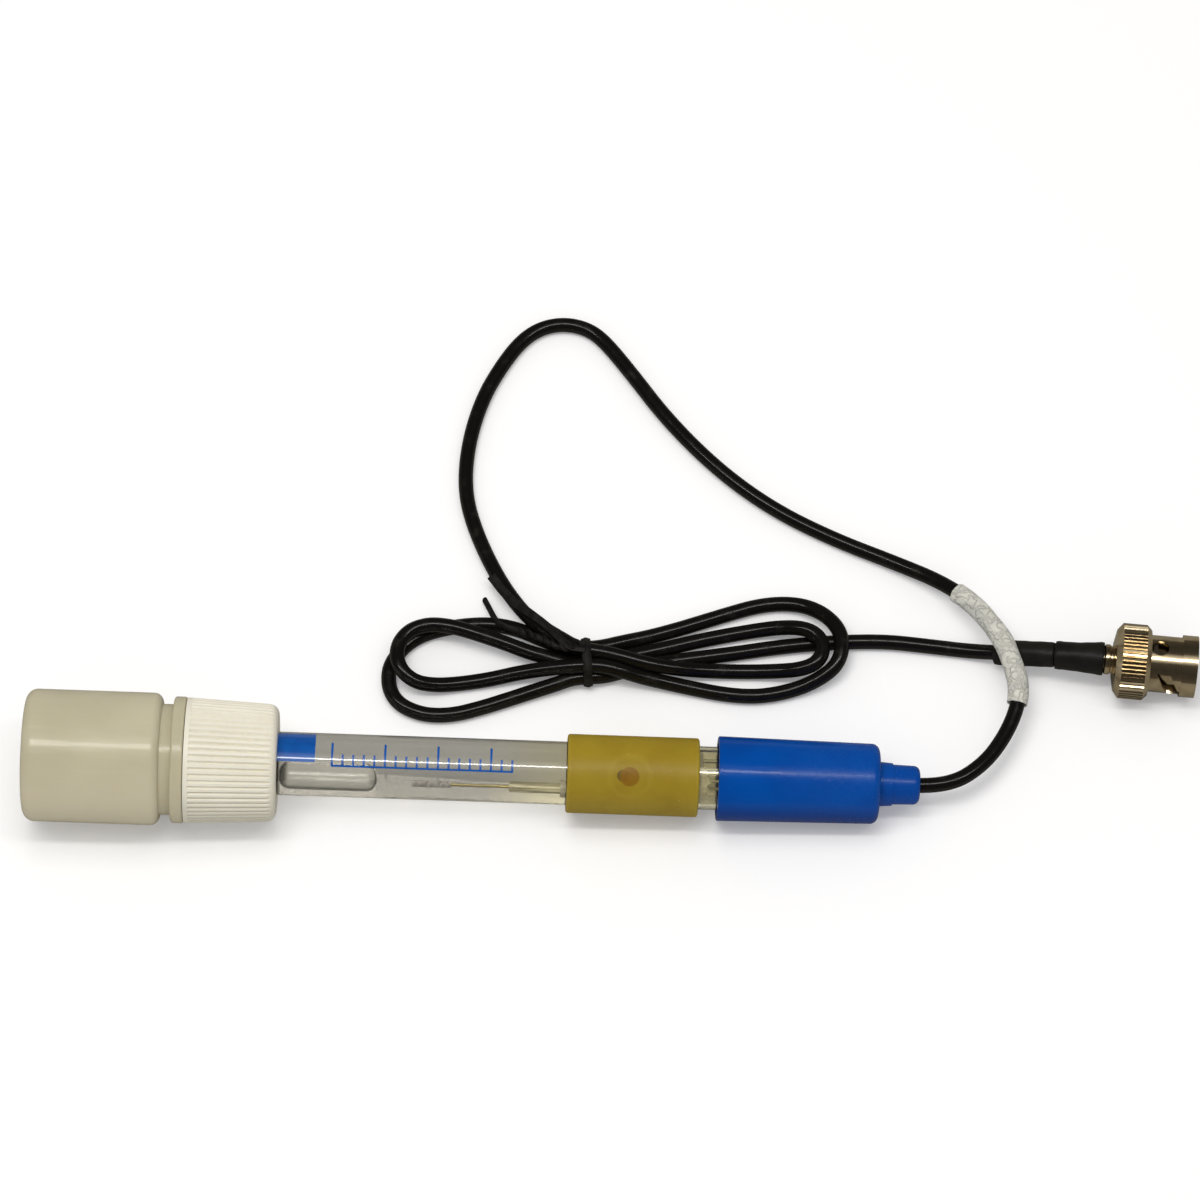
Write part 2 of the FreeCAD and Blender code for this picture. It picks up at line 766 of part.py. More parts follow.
fill_blank = turned(
    "electrolyte_fill",
    ELECTRODE,
    [
        ("fill_start", "axis"),
        ("fill_start", "fill_radius"),
        ("fill_end", "fill_radius"),
        ("fill_end", "axis"),
    ],
    [("fill_start", "fill_radius", "fill_round")],
)
core_room = turned(
    "core_room",
    CORE,
    [
        ("element_room_start", "axis"),
        ("element_room_start", "element_room"),
        ("element_room_end", "element_room"),
        ("element_room_end", "wire_room"),
        ("sheath_room_start", "wire_room"),
        ("sheath_room_start", "sheath_room"),
        ("seal_room_start", "sheath_room"),
        ("seal_room_start", "seal_room"),
        ("seal_room_end", "seal_room"),
        ("seal_room_end", "sheath_room"),
        ("wad_start", "sheath_room"),
        ("wad_start", "axis"),
    ],
)
bubble = turned(
    "bubble_room",
    BUBBLE,
    [
        ("bubble_start", "axis"),
        ("bubble_start", "bubble_radius"),
        ("bubble_end", "bubble_radius"),
        ("bubble_end", "axis"),
    ],
    [
        ("bubble_start", "bubble_radius", "bubble_round"),
        ("bubble_end", "bubble_radius", "bubble_round"),
    ],
)
fill = minus(
    "electrolyte_fill",
    fill_blank,
    [
        core_room,
        bubble,
        rod("junction_room", ELECTRODE, "tube_tip", "junction_room_end", "junction_bore"),
    ],
)

# Amber sleeve over the refill hole
sleeve = ring_between(
    "fill_sleeve",
    ELECTRODE,
    "sleeve_start",
    "sleeve_end",
    "sleeve_bore",
    "sleeve_radius",
    [
        ("sleeve_start", "sleeve_radius", "sleeve_edge"),
        ("sleeve_end", "sleeve_radius", "sleeve_edge"),
    ],
)

# Blue head, and what it holds
head = turned(
    "head_cap",
    ELECTRODE,
    [
        ("head_face", "head_mouth_radius"),
        ("head_face", "head_front_radius"),
        ("head_end", "head_rear_radius"),
        ("head_end", "boss_root_radius"),
        ("boss_step_end", "boss_shoulder_radius"),
        ("boss_step_end", "boss_waist_radius"),
        ("boss_end", "boss_tip_radius"),
        ("boss_end", "inlet_bore"),
        ("head_inside_end", "inlet_bore"),
        ("head_inside_end", "head_back_radius"),
    ],
    [
        ("head_face", "head_front_radius", "head_mouth_edge"),
        ("head_end", "head_rear_radius", "head_edge"),
        ("boss_end", "boss_tip_radius", "boss_edge"),
    ],
)
potting = turned(
    "head_potting",
    ELECTRODE,
    [
        ("potting_start", "potting_on_tube"),
        ("potting_start", "potting_front_radius"),
        ("potting_end", "potting_back_radius"),
        ("potting_end", "inlet_bore"),
        ("clamp_room_end", "inlet_bore"),
        ("clamp_room_end", "clamp_room"),
        ("clamp_room_start", "clamp_room"),
        ("clamp_room_start", "inlet_bore"),
        ("inlet_start", "inlet_bore"),
        ("inlet_start", "stem_bore"),
        ("stem_room_end", "stem_bore"),
        ("stem_room_end", "stem_room"),
        ("potting_plug_start", "stem_room"),
        ("potting_plug_start", "fill_radius"),
        ("potting_behind_tube", "fill_radius"),
        ("potting_behind_tube", "potting_on_tube"),
    ],
)
inlet = rod("cord_inlet", ELECTRODE, "inlet_start", "inlet_end", "cord_radius")
clamp = ring_between(
    "cable_clamp", ELECTRODE, "clamp_start", "clamp_end", "inlet_bore", "clamp_radius"
)

# Bayonet plug, lying on its knurl
PLUG = (
    Placement(Vector(s.plug_x, s.plug_y, s.knurl_radius), Rotation(Vector(0, 0, 1), s.plug_turn))
    * Placement(Vector(), Rotation(Vector(1, 0, 0), s.face_turn))
)
ferrule = turned(
    "plug_ferrule",
    PLUG,
    [
        ("crimp_start", "cord_hole"),
        ("crimp_start", "crimp_radius"),
        ("start", "crimp_radius"),
        ("start", "ferrule_bead_radius"),
        ("ferrule_end", "ferrule_bead_radius"),
        ("ferrule_end", "cord_hole"),
    ],
    [
        ("start", "ferrule_bead_radius", "ferrule_edge"),
        ("ferrule_end", "ferrule_bead_radius", "ferrule_edge"),
    ],
)
plug_body = turned(
    "plug_body",
    PLUG,
    [
        ("plug_body_start", "core_bore_radius"),
        ("plug_body_start", "plug_neck_radius"),
        ("flange_start", "plug_neck_radius"),
        ("flange_start", "plug_flange_radius"),
        ("flange_end", "plug_flange_radius"),
        ("flange_end", "plug_mid_radius"),
        ("mid_end", "plug_mid_radius"),
        ("mid_end", "plug_bore_radius"),
        ("plug_bore_start", "plug_bore_radius"),
        ("plug_bore_start", "core_bore_radius"),
    ],
)
contact = turned(
    "plug_outer_contact",
    PLUG,
    [
        ("contact_start", "plug_bore_radius"),
        ("contact_start", "contact_radius"),
        ("contact_end", "contact_radius"),
        ("contact_end", "contact_bore"),
        ("contact_base_end", "contact_bore"),
        ("contact_base_end", "plug_bore_radius"),
    ],
)
slit = cutter_sketch(
    contact,
    "slit",
    [
        ("slit_start", "-slit_half"),
        ("slit_end", "-slit_half"),
        ("slit_end", "slit_half"),
        ("slit_start", "slit_half"),
    ],
    roll=s.contact_slit_turn,
)
around_axis(contact, cut_upward(contact, slit, "slit_cut"), "slits", "contact_slit_count")
insulator = ring_between(
    "plug_insulator",
    PLUG,
    "insulator_start",
    "insulator_end",
    "pin_socket_radius",
    "insulator_radius",
)
pin = turned(
    "plug_centre_pin",
    PLUG,
    [
        ("pin_shoulder_start", "axis"),
        ("pin_shoulder_start", "pin_shoulder_radius"),
        ("pin_shoulder_end", "pin_shoulder_radius"),
        ("pin_shoulder_end", "pin_radius"),
        ("pin_cone_start", "pin_radius"),
        ("pin_end", "pin_tip_radius"),
        ("pin_end", "axis"),
    ],
)
gasket = ring_between(
    "plug_gasket", PLUG, "gasket_start", "gasket_end", "gasket_bore", "gasket_radius"
)
thrust = ring_between(
    "plug_thrust_washer", PLUG, "thrust_start", "thrust_end", "thrust_bore", "thrust_radius"
)
spring = turned(
    "plug_spring_washer",
    PLUG,
    [
        ("spring_start", "spring_bore"),
        ("spring_face_end", "spring_radius"),
        ("spring_end", "spring_radius"),
        ("spring_face_start", "spring_bore"),
    ],
)
nut = turned(
    "plug_nut",
    PLUG,
    [
        ("nut_start", "nut_hole_radius"),
        ("nut_start", "nut_back_radius"),
        ("dome_end", "dome_radius"),
        ("knurl_start", "knurl_radius"),
        ("knurl_end", "knurl_radius"),
        ("knurl_chamfer_end", "knurl_chamfer_radius"),
        ("knurl_chamfer_end", "barrel_radius"),
        ("nut_ring_start", "barrel_radius"),
        ("nut_ring_start", "nut_ring_radius"),
        ("nut_end", "nut_ring_radius"),
        ("nut_end", "nut_bore_radius"),
        ("chamber_end", "nut_bore_radius"),
        ("chamber_end", "nut_chamber_radius"),
        ("nut_wall_end", "nut_chamber_radius"),
        ("nut_wall_end", "nut_hole_radius"),
    ],
)
grooves(
    nut,
    "knurl",
    ("knurl_start", "knurl_end"),
    ("knurl_root", "knurl_root"),
    ("knurl_crest", "knurl_crest"),
    "knurl_gap",
    "knurl_count",
)

dwell = round_hole(nut, "dwell", "dwell_place", "dwell_radius", -s.dwell_turn)
around_axis(nut, dwell, "dwells", "dwell_count")

# Each ramp slot winds forward through the thin barrel to the groove where a stud enters
ramp_turn = s.dwell_turn - s.ramp_behind_dwell
ramp_section = cutter_sketch(
    nut,
    "ramp_section",
    [
        ("ramp_near", "ramp_inner"),
        ("ramp_far", "ramp_inner"),
        ("ramp_far", "ramp_outer"),
        ("ramp_near", "ramp_outer"),
    ],
    roll=90 - ramp_turn,
)
before = nut.Tip.Shape.Volume
ramp = nut.newObject("PartDesign::SubtractiveHelix", "plug_nut_ramp")
ramp.Profile = ramp_section
ramp.ReferenceAxis = (ramp_section, ["H_Axis"])
ramp.Mode = "height-turns-angle"
ramp.Height = s.ramp_rise
ramp.setExpression("Height", cell("ramp_rise"))
ramp.Turns = s.ramp_sweep / 360
ramp.setExpression("Turns", f"{cell('ramp_sweep')} / 360")
nut.Tip = ramp
doc.recompute()
print(f"plug_nut ramp takes {before - ramp.Shape.Volume:.2f} mm3")
around_axis(nut, ramp, "ramps", "dwell_count")
entry = cutter_sketch(
    nut,
    "entry",
    [
        ("entry_start", "-entry_half"),
        ("entry_end", "-entry_half"),
        ("entry_end", "entry_half"),
        ("entry_start", "entry_half"),
    ],
    roll=s.ramp_sweep - ramp_turn,
)
entry_cut = cut_upward(nut, entry, "entry_cut", "entry_reach")
around_axis(nut, entry_cut, "entries", "dwell_count")


def run_through(points):
    """Straight runs between points, joined by arcs that touch the runs on both sides."""
    edges = []
    start = points[0]
    for before, corner, after in zip(points, points[1:], points[2:]):
        inward = (corner - before).normalize()
        outward = (after - corner).normalize()
        half_turn = inward.getAngle(outward) / 2
        reach = 0.45 * min((corner - before).Length, (after - corner).Length)
        radius = reach / math.tan(half_turn)
        towards = (outward - inward).normalize()
        first, last = corner - inward * reach, corner + outward * reach
        middle = corner + towards * (radius / math.cos(half_turn) - radius)
        edges.append(Part.LineSegment(start, first).toShape())
        edges.append(Part.Arc(first, middle, last).toShape())
        start = last
        bends.append(radius)
    edges.append(Part.LineSegment(start, points[-1]).toShape())
    return edges


def stretch(edges, start, end):
    """The part of a run between two lengths along it."""
    pieces = []
    walked = 0.0
    for edge in edges:
        low, high = max(start - walked, 0.0), min(end - walked, edge.Length)
        if high - low > 1e-6:
            curve = edge.Curve
            first, last = edge.getParameterByLength(low), edge.getParameterByLength(high)
            pieces.append(curve.toShape(first, last))
        walked += edge.Length
    return pieces


def along(label, edges, radius):
    """A round section swept along a run."""
    path = doc.addObject("Part::Feature", f"{label}_path")
    path.Shape = Part.Wire(edges)
    first = edges[0]
    circle = doc.addObject("Part::Circle", f"{label}_section")
    circle.setExpression("Radius", cell(radius))
    circle.Placement = Placement(
        first.valueAt(first.FirstParameter),
        Rotation(Vector(0, 0, 1), first.tangentAt(first.FirstParameter)),
    )
    sweep = doc.addObject("Part::Sweep", label)
    sweep.Sections = [circle]
    sweep.Spine = (path, [f"Edge{n}" for n in range(1, len(edges) + 1)])
    sweep.Solid = True
    sweep.Frenet = False
    sweep.Label = label
    doc.recompute()
    long = sum(edge.Length for edge in edges)
    share = sweep.Shape.Volume / (math.pi * s[radius] ** 2 * long)
    print(f"{label} is {long:.1f} mm long, volume over section times length {share:.4f}")
    return sweep


def sleeve_along(label, edges, bore, radius):
    """A thin tube round a cord."""
    return minus(label, along(label, edges, radius), [along(f"{label}_bore", edges, bore)])


# Cable from the head to the tied hank, and from the hank to the plug
bends = []
lead_run = run_through(
    [
        LYING.multVec(Vector(s.inlet_end, 0, 0)),
        LYING.multVec(Vector(s.inlet_end + s.cord_straight, 0, 0)),
        Vector(97.3, 4.7, 6.9),
        Vector(101.9, 11.6, 6.9),
        Vector(104.4, 18.7, 7.6),
        Vector(103.2, 24.8, 8.5),
        Vector(100.5, 31.5, 8.5),
        Vector(95.7, 38.8, 6.4),
        Vector(89.7, 44.6, 3.5),
        Vector(80.7, 49.4, 1.7),
        Vector(69.0, 54.2, 1.46),
        Vector(57.2, 60.3, 1.46),
        Vector(46.3, 68.6, 1.46),
        Vector(35.9, 79.6, 1.46),
        Vector(27.6, 91.2, 1.46),
        Vector(22.2, 98.0, 1.46),
        Vector(18.5, 100.2, 1.46),
        Vector(14.25, 100.8, 1.46),
        Vector(10.1, 99.7, 1.46),
        Vector(6.5, 96.9, 1.46),
        Vector(2.9, 91.6, 1.46),
        Vector(-1.0, 83.7, 1.46),
        Vector(-3.5, 73.4, 1.46),
        Vector(-3.8, 63.1, 1.46),
        Vector(-1.3, 54.2, 1.46),
        Vector(3.6, 43.9, 1.46),
        Vector(9.0, 36.5, 1.46),
        Vector(14.8, 31.9, 2.4),
        Vector(18.0, 30.3, 3.2),
    ]
)
tail_run = run_through(
    [
        Vector(66.5, 33.1, 1.46),
        Vector(77.8, 32.7, 1.46),
        Vector(87.1, 31.8, 1.46),
        Vector(96.9, 30.7, 1.46),
        PLUG.multVec(Vector(s.cord_end - s.plug_straight, 0, 0)),
        PLUG.multVec(Vector(s.cord_end, 0, 0)),
    ]
)
lead = along("cord_lead", lead_run, "cord_radius")
tail = along("cord_tail", tail_run, "cord_radius")
print("tightest bends", [round(radius, 1) for radius in sorted(bends)[:6]])

label_run = stretch(lead_run, s.label_start, s.label_start + s.label_long)
marker = sleeve_along("cable_label", label_run, "inlet_bore", "label_radius")
tail_long = sum(edge.Length for edge in tail_run)
plug_back = tail_long - s.cord_end
rear_end = plug_back - s.crimp_long - s.slip
rear_run = stretch(tail_run, rear_end - s.shrink_rear_long, rear_end)
shrink_rear = sleeve_along("shrink_tube_rear", rear_run, "inlet_bore", "shrink_rear_radius")
front_end = plug_back - s.slip
front_run = stretch(tail_run, front_end - s.shrink_front_long, front_end)
shrink_front = sleeve_along("shrink_tube_front", front_run, "shrink_front_bore", "shrink_front_radius")

# The tied hank: a flat bundle, narrow where the wire tie holds it
HANK = Placement(Vector(s.hank_x, s.hank_y, 0), Rotation(Vector(0, 0, 1), s.hank_turn))
bundle = new_body("cord_hank", HANK)
plan = sketch_on(bundle, "XY_Plane", "plan")


def lobe(side, reach, radius):
    """Where a line from the waist touches a lobe's circle, above the axis."""
    far = math.hypot(reach, s.hank_waist)
    angle = math.atan2(s.hank_waist, -reach) - math.acos(radius / far)
    return Vector(side * (reach + radius * math.cos(angle)), radius * math.sin(angle), 0)


right_top = lobe(1, s.hank_right_reach, s.hank_right_radius)
left_top = lobe(-1, s.hank_left_reach, s.hank_left_radius)
right_bottom, left_bottom = Vector(right_top.x, -right_top.y), Vector(left_top.x, -left_top.y)
right_far = Vector(s.hank_right_reach + s.hank_right_radius, 0, 0)
left_far = Vector(-s.hank_left_reach - s.hank_left_radius, 0, 0)
waist_top, waist_bottom = Vector(0, s.hank_waist, 0), Vector(0, -s.hank_waist, 0)
for curve in (
    Part.LineSegment(waist_top, right_top),
    Part.Arc(right_bottom, right_far, right_top),
    Part.LineSegment(right_bottom, waist_bottom),
    Part.LineSegment(waist_bottom, left_bottom),
    Part.Arc(left_top, left_far, left_bottom),
    Part.LineSegment(left_top, waist_top),
):
    plan.addGeometry(curve, False)
for kind, *ends in (
    ("Tangent", 0, 2, 1, 2),
    ("Tangent", 2, 1, 1, 1),
    ("Tangent", 3, 2, 4, 2),
    ("Tangent", 5, 1, 4, 1),
    ("Coincident", 0, 1, 5, 2),
    ("Coincident", 2, 2, 3, 1),
    ("PointOnObject", 0, 1, -2),
    ("PointOnObject", 2, 2, -2),
    ("PointOnObject", 1, 3, -1),
    ("PointOnObject", 4, 3, -1),
):
    plan.addConstraint(Sketcher.Constraint(kind, *ends))
for name, size, kind, *ends in (
    ("waist_up", "hank_waist", "DistanceY", -1, 1, 0, 1),
    ("waist_down", "hank_waist", "DistanceY", 2, 2, -1, 1),
    ("right_reach", "hank_right_reach", "DistanceX", -1, 1, 1, 3),
    ("left_reach", "hank_left_reach", "DistanceX", 4, 3, -1, 1),
    ("right_radius", "hank_right_radius", "Radius", 1),
    ("left_radius", "hank_left_radius", "Radius", 4),
):
    index = plan.addConstraint(Sketcher.Constraint(kind, *ends, s[size]))
    plan.renameConstraint(index, name)
    plan.setExpression(f"Constraints.{name}", cell(size))
pad = bundle.newObject("PartDesign::Pad", "cord_hank_pad")
pad.Profile = plan
pad.Length = s.hank_high
pad.setExpression("Length", cell("hank_high"))
bundle.Tip = pad
doc.recompute()
rims = [
    f"Edge{n}"
    for n, edge in enumerate(pad.Shape.Edges, start=1)
    if edge.BoundBox.ZLength < 1e-6
]
soften = bundle.newObject("PartDesign::Fillet", "cord_hank_round")
soften.Base = (pad, rims)
soften.Radius = s.hank_edge
soften.setExpression("Radius", cell("hank_edge"))
bundle.Tip = soften
doc.recompute()


def block(label, placement, long, half, low, high):
    """A box centred on X and Y of its placement, between two heights."""
    box = doc.addObject("Part::Box", label)
    box.setExpression("Length", cell(long))
    box.setExpression("Width", f"2 * {cell(half)}")
    box.setExpression("Height", f"{cell(high)} - {cell(low)}")
    box.Placement = placement * Placement(Vector(-s[long] / 2, -s[half], s[low]), Rotation())
    return box


tie_room = minus(
    "tie_room",
    block("tie_room_outside", HANK, "tie_room_wide", "tie_room_half", "axis", "tie_top"),
    [block("tie_room_core", HANK, "tie_room_wide", "tie_core_half", "tie_core_base", "tie_top")],
)
hank = minus("cord_hank", bundle, [tie_room])

tie = new_body("twist_tie", HANK)
loop = sketch_on(tie, "YZ_Plane", "loop")
outline(
    loop,
    [("-tie_half", "axis"), ("tie_half", "axis"), ("tie_half", "tie_top"), ("-tie_half", "tie_top")],
)
outline(
    loop,
    [
        ("-tie_half_inside", "tie_thick"),
        ("tie_half_inside", "tie_thick"),
        ("tie_half_inside", "tie_inner_top"),
        ("-tie_half_inside", "tie_inner_top"),
    ],
)
band = tie.newObject("PartDesign::Pad", "twist_tie_band")
band.Profile = loop
band.Length = s.tie_wide
band.Midplane = True
band.setExpression("Length", cell("tie_wide"))
tie.Tip = band
doc.recompute()
corners = [
    f"Edge{n}"
    for n, edge in enumerate(band.Shape.Edges, start=1)
    if edge.BoundBox.XLength > 0.9 * s.tie_wide
    and abs(abs(edge.CenterOfMass.y) - s.tie_half) < 1e-4
]
turn = tie.newObject("PartDesign::Fillet", "twist_tie_round")
turn.Base = (band, corners)
turn.Radius = s.tie_edge
turn.setExpression("Radius", cell("tie_edge"))
tie.Tip = turn
doc.recompute()

PIECES = [
    glass, junction, fill, element, wire, sheath, bead, wad, stem, signal, screen, drain, solder,
    head, potting, inlet, clamp, sleeve, ring, washer, cap, bottle, lead, hank, tail, marker, tie,
    shrink_rear, shrink_front, ferrule, plug_body, contact, insulator, pin, gasket, spring, thrust,
    nut,
]
doc.recompute()
for thing in doc.Objects:
    if "Invalid" in thing.State or "Error" in thing.State:
        raise RuntimeError(f"{thing.Name} did not build: {thing.State}")
for piece in PIECES:
    shape = piece.Shape
    if shape.isNull() or not shape.isValid() or len(shape.Solids) != 1:
        raise RuntimeError(f"{piece.Label} is not one whole solid")
whole = Part.makeCompound([piece.Shape for piece in PIECES]).optimalBoundingBox(False)
print(f"{len(PIECES)} pieces, from {whole.XMin:.2f} {whole.YMin:.2f} {whole.ZMin:.3f}")
print(f"to {whole.XMax:.2f} {whole.YMax:.2f} {whole.ZMax:.2f}, tilt {math.degrees(tilt):.3f}")
for piece in PIECES:
    piece.Shape.exportStep(f"parts/{piece.Label}.step")
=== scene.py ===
import json
import math
import random
import bpy
from mathutils import Matrix, Vector


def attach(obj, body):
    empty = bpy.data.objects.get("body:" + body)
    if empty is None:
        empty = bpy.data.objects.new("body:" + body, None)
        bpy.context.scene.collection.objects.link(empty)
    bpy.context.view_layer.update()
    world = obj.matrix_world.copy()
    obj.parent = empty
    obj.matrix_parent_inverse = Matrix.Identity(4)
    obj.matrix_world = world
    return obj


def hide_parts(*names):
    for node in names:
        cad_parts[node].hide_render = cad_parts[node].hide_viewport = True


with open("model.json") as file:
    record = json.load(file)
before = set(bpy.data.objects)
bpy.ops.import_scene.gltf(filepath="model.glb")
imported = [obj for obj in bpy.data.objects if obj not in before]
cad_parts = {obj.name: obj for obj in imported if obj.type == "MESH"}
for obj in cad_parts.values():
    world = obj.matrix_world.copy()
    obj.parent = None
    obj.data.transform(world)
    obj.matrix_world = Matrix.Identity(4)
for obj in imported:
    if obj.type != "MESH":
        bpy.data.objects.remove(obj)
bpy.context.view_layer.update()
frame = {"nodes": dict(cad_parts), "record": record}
nodes = frame["nodes"]
mm = 0.001
perMetre = 1000.0  # millimetres in a metre

# How the electrode and the plug lie on the table
electrode = {"origin": (-0.08465, 0, 0.013414), "tilt": 2.0708, "roll": 25.0}
plug = {"origin": (0.1205, 0.0272, 0.00725), "turn": -4.4, "roll": 25.0}
electrodeFrame = (
    Matrix.Translation(electrode["origin"])
    @ Matrix.Rotation(math.radians(electrode["tilt"]), 4, "Y")
    @ Matrix.Rotation(math.radians(electrode["roll"]), 4, "X")
)
plugFrame = (
    Matrix.Translation(plug["origin"])
    @ Matrix.Rotation(math.radians(plug["turn"]), 4, "Z")
    @ Matrix.Rotation(math.radians(plug["roll"]), 4, "X")
)

# Shader helpers


class Signal:  # a socket that can be used in sums
    def __init__(self, surface, socket):
        self.surface, self.socket = surface, socket

    def sum(self, operation, *values):
        return self.surface.sum(operation, *values)

    def __add__(self, other):
        return self.sum("ADD", self, other)

    def __radd__(self, other):
        return self.sum("ADD", other, self)

    def __sub__(self, other):
        return self.sum("SUBTRACT", self, other)

    def __rsub__(self, other):
        return self.sum("SUBTRACT", other, self)

    def __mul__(self, other):
        return self.sum("MULTIPLY", self, other)

    def __abs__(self):
        return self.sum("ABSOLUTE", self)

    def __lt__(self, other):
        return self.sum("LESS_THAN", self, other)

    def __gt__(self, other):
        return self.sum("GREATER_THAN", self, other)


class Surface:  # one material and its nodes
    def __init__(self, name, tree=None):
        self.material = None
        if tree is None:
            self.material = bpy.data.materials.new(name)
            self.material.use_nodes = True
            tree = self.material.node_tree
        self.tree = tree
        tree.nodes.clear()
        self.here = None

    def add(self, kind, settings=None, sockets=None, output=0):
        node = self.tree.nodes.new(kind)
        for key, value in (settings or {}).items():
            if key == "stops":
                ramp = node.color_ramp
                while len(ramp.elements) < len(value):
                    ramp.elements.new(1.0)
                for element, (stop, colour) in zip(ramp.elements, value):
                    element.position = stop
                    element.color = (*colour, 1.0)
            else:
                setattr(node, key, value)
        for key, value in (sockets or {}).items():
            if isinstance(value, Signal):
                self.tree.links.new(value.socket, node.inputs[key])
            elif node.inputs[key].type == "RGBA":
                node.inputs[key].default_value = (*value, 1.0)
            else:
                node.inputs[key].default_value = value
        return Signal(self, node.outputs[output]) if len(node.outputs) else None

    def sum(self, operation, *values):
        return self.add("ShaderNodeMath", {"operation": operation}, dict(enumerate(values)))

    def coords(self):
        if self.here is None:
            self.here = self.add("ShaderNodeTexCoord", output="Object")
        return self.here

    def vector(self, operation, first, second=None, output="Vector"):
        sockets = {0: first} if second is None else {0: first, 1: second}
        return self.add("ShaderNodeVectorMath", {"operation": operation}, sockets, output)

    def inFrame(self, matrix):  # millimetres along, across and above in a piece's own frame
        turn = matrix.to_3x3()
        origin = matrix.translation
        away = self.vector("SUBTRACT", self.coords(), tuple(origin))
        dots = [self.vector("DOT_PRODUCT", away, tuple(turn.col[k]), "Value") for k in range(3)]
        return [dot * perMetre for dot in dots]

    def join(self, x, y, z):
        return self.add("ShaderNodeCombineXYZ", None, {0: x, 1: y, 2: z})

    def noise(self, size, detail=2.0, at=None):  # size in millimetres
        scale = perMetre / size if at is None else 1.0 / size
        sockets = {"Vector": at or self.coords(), "Scale": scale, "Detail": detail}
        return self.add("ShaderNodeTexNoise", {"noise_dimensions": "3D"}, sockets, "Fac")

    def smooth(self, value, low, high, first=0.0, last=1.0):
        sockets = {0: value, 1: low, 2: high, 3: first, 4: last}
        return self.add("ShaderNodeMapRange", {"interpolation_type": "SMOOTHSTEP"}, sockets)

    def fade(self, value, low, high):  # from one at the low end to nothing at the high end
        return self.smooth(value, low, high, 1.0, 0.0)

    def streaks(self, spot, size, detail, stretch):  # a pattern drawn out along the part
        along, across, above = spot
        return self.noise(size, detail, at=self.join(along * stretch, across, above))

    def mix(self, share, first, second):
        settings = {"data_type": "RGBA", "clamp_factor": True}
        return self.add("ShaderNodeMix", settings, {0: share, 6: first, 7: second}, 2)

    def bump(self, height, depth):  # depth in millimetres for a height of one
        sockets = {"Height": height, "Distance": depth * mm, "Strength": 1.0}
        return self.add("ShaderNodeBump", None, sockets)

    def lightPath(self, kind):
        return self.add("ShaderNodeLightPath", output=kind)

    def blend(self, share, first, second):
        return self.add("ShaderNodeMixShader", None, {0: share, 1: first, 2: second})

    def passing(self, tint):
        return self.add("ShaderNodeBsdfTransparent", None, {"Color": tint})

    def fromAxis(self, across, above):
        return self.vector("LENGTH", self.join(0.0, across, above), None, "Value")

    def shader(self, **sockets):
        named = {key.replace("_", " "): value for key, value in sockets.items()}
        return self.add("ShaderNodeBsdfPrincipled", None, named)

    def done(self, shader):
        self.add("ShaderNodeOutputMaterial", None, {"Surface": shader})
        return self.material

    def solid(self, look, colour, rough, height, **more):  # an opaque finish
        more = {"Normal": self.bump(height, look["relief"]), **look.get("more", {}), **more}
        return self.done(self.shader(Base_Color=colour, Roughness=rough, **more))


def swing(pattern, spread):  # a pattern's ups and downs round its middle
    return (pattern - 0.5) * spread


usual = {  # what the finishes share
    "patchDetail": 3.0, "grainDetail": 2.0, "shadeShows": (0.3, 0.7), "spread": 0.1,
    "stainShows": (0.35, 0.75), "stainSpread": 0.16, "lineSpread": 0.08, "lineStretch": 0.02,
}


def moulded(name, look):  # plastic, rubber, resin and other cast or moulded faces
    surface = Surface(name)
    patch = surface.noise(look["patch"], usual["patchDetail"])
    grain = surface.noise(look["grain"], usual["grainDetail"])
    shade = surface.smooth(patch, *usual["shadeShows"])
    colour = surface.mix(shade, look["colour"], look["shade"])
    rough = look["rough"] + swing(grain, look.get("spread", usual["spread"]))
    return surface.solid(look, colour, rough, grain + patch)


def turnedMetal(name, look, matrix):  # metal with fine lathe lines round its axis
    surface = Surface(name)
    along, across, above = surface.inFrame(matrix)
    detail, wide = usual["patchDetail"], usual["lineStretch"]
    lines = surface.noise(look["line"], detail, at=surface.join(along, across * wide, above * wide))
    stain = surface.noise(look["patch"], detail)
    stained = surface.smooth(stain, *usual["stainShows"])
    colour = surface.mix(stained, look["colour"], look["shade"])
    rough = look["rough"] + swing(stain, usual["stainSpread"])
    rough = rough + swing(lines, usual["lineSpread"])
    return surface.solid(look, colour, rough, lines, Metallic=1.0)


def dress(material, *names):
    for name in names:
        slots = nodes[name].data.materials
        if len(slots) == 0:
            slots.append(material)
        for k in range(len(slots)):
            slots[k] = material


# Shape helpers


def place(name, data):
    thing = bpy.data.objects.new(name, data)
    bpy.context.scene.collection.objects.link(thing)
    return thing


splineOrder, splineSteps = 3, 10


def spline(name, points, cyclic=False):
    curve = bpy.data.curves.new(name, "CURVE")
    curve.dimensions = "3D"
    line = curve.splines.new("NURBS")
    line.points.add(len(points) - 1)
    for point, spot in zip(line.points, points):
        point.co = (spot[0] * mm, spot[1] * mm, spot[2] * mm, 1.0)
    line.order_u = splineOrder
    if cyclic:
        line.use_cyclic_u = True
    else:
        line.use_endpoint_u = True
    line.resolution_u = splineSteps
    curve.resolution_u = splineSteps
    return place(name, curve)


def readPoints(thing):
    mesh = bpy.data.meshes.new_from_object(thing)
    points = [vertex.co.copy() for vertex in mesh.vertices]
    bpy.data.meshes.remove(mesh)
    return points


def smoothed(points, cyclic=False):
    thing = spline("guide", points, cyclic)
    line = readPoints(thing)
    bpy.data.objects.remove(thing)
    return line + line[:1] if cyclic else line


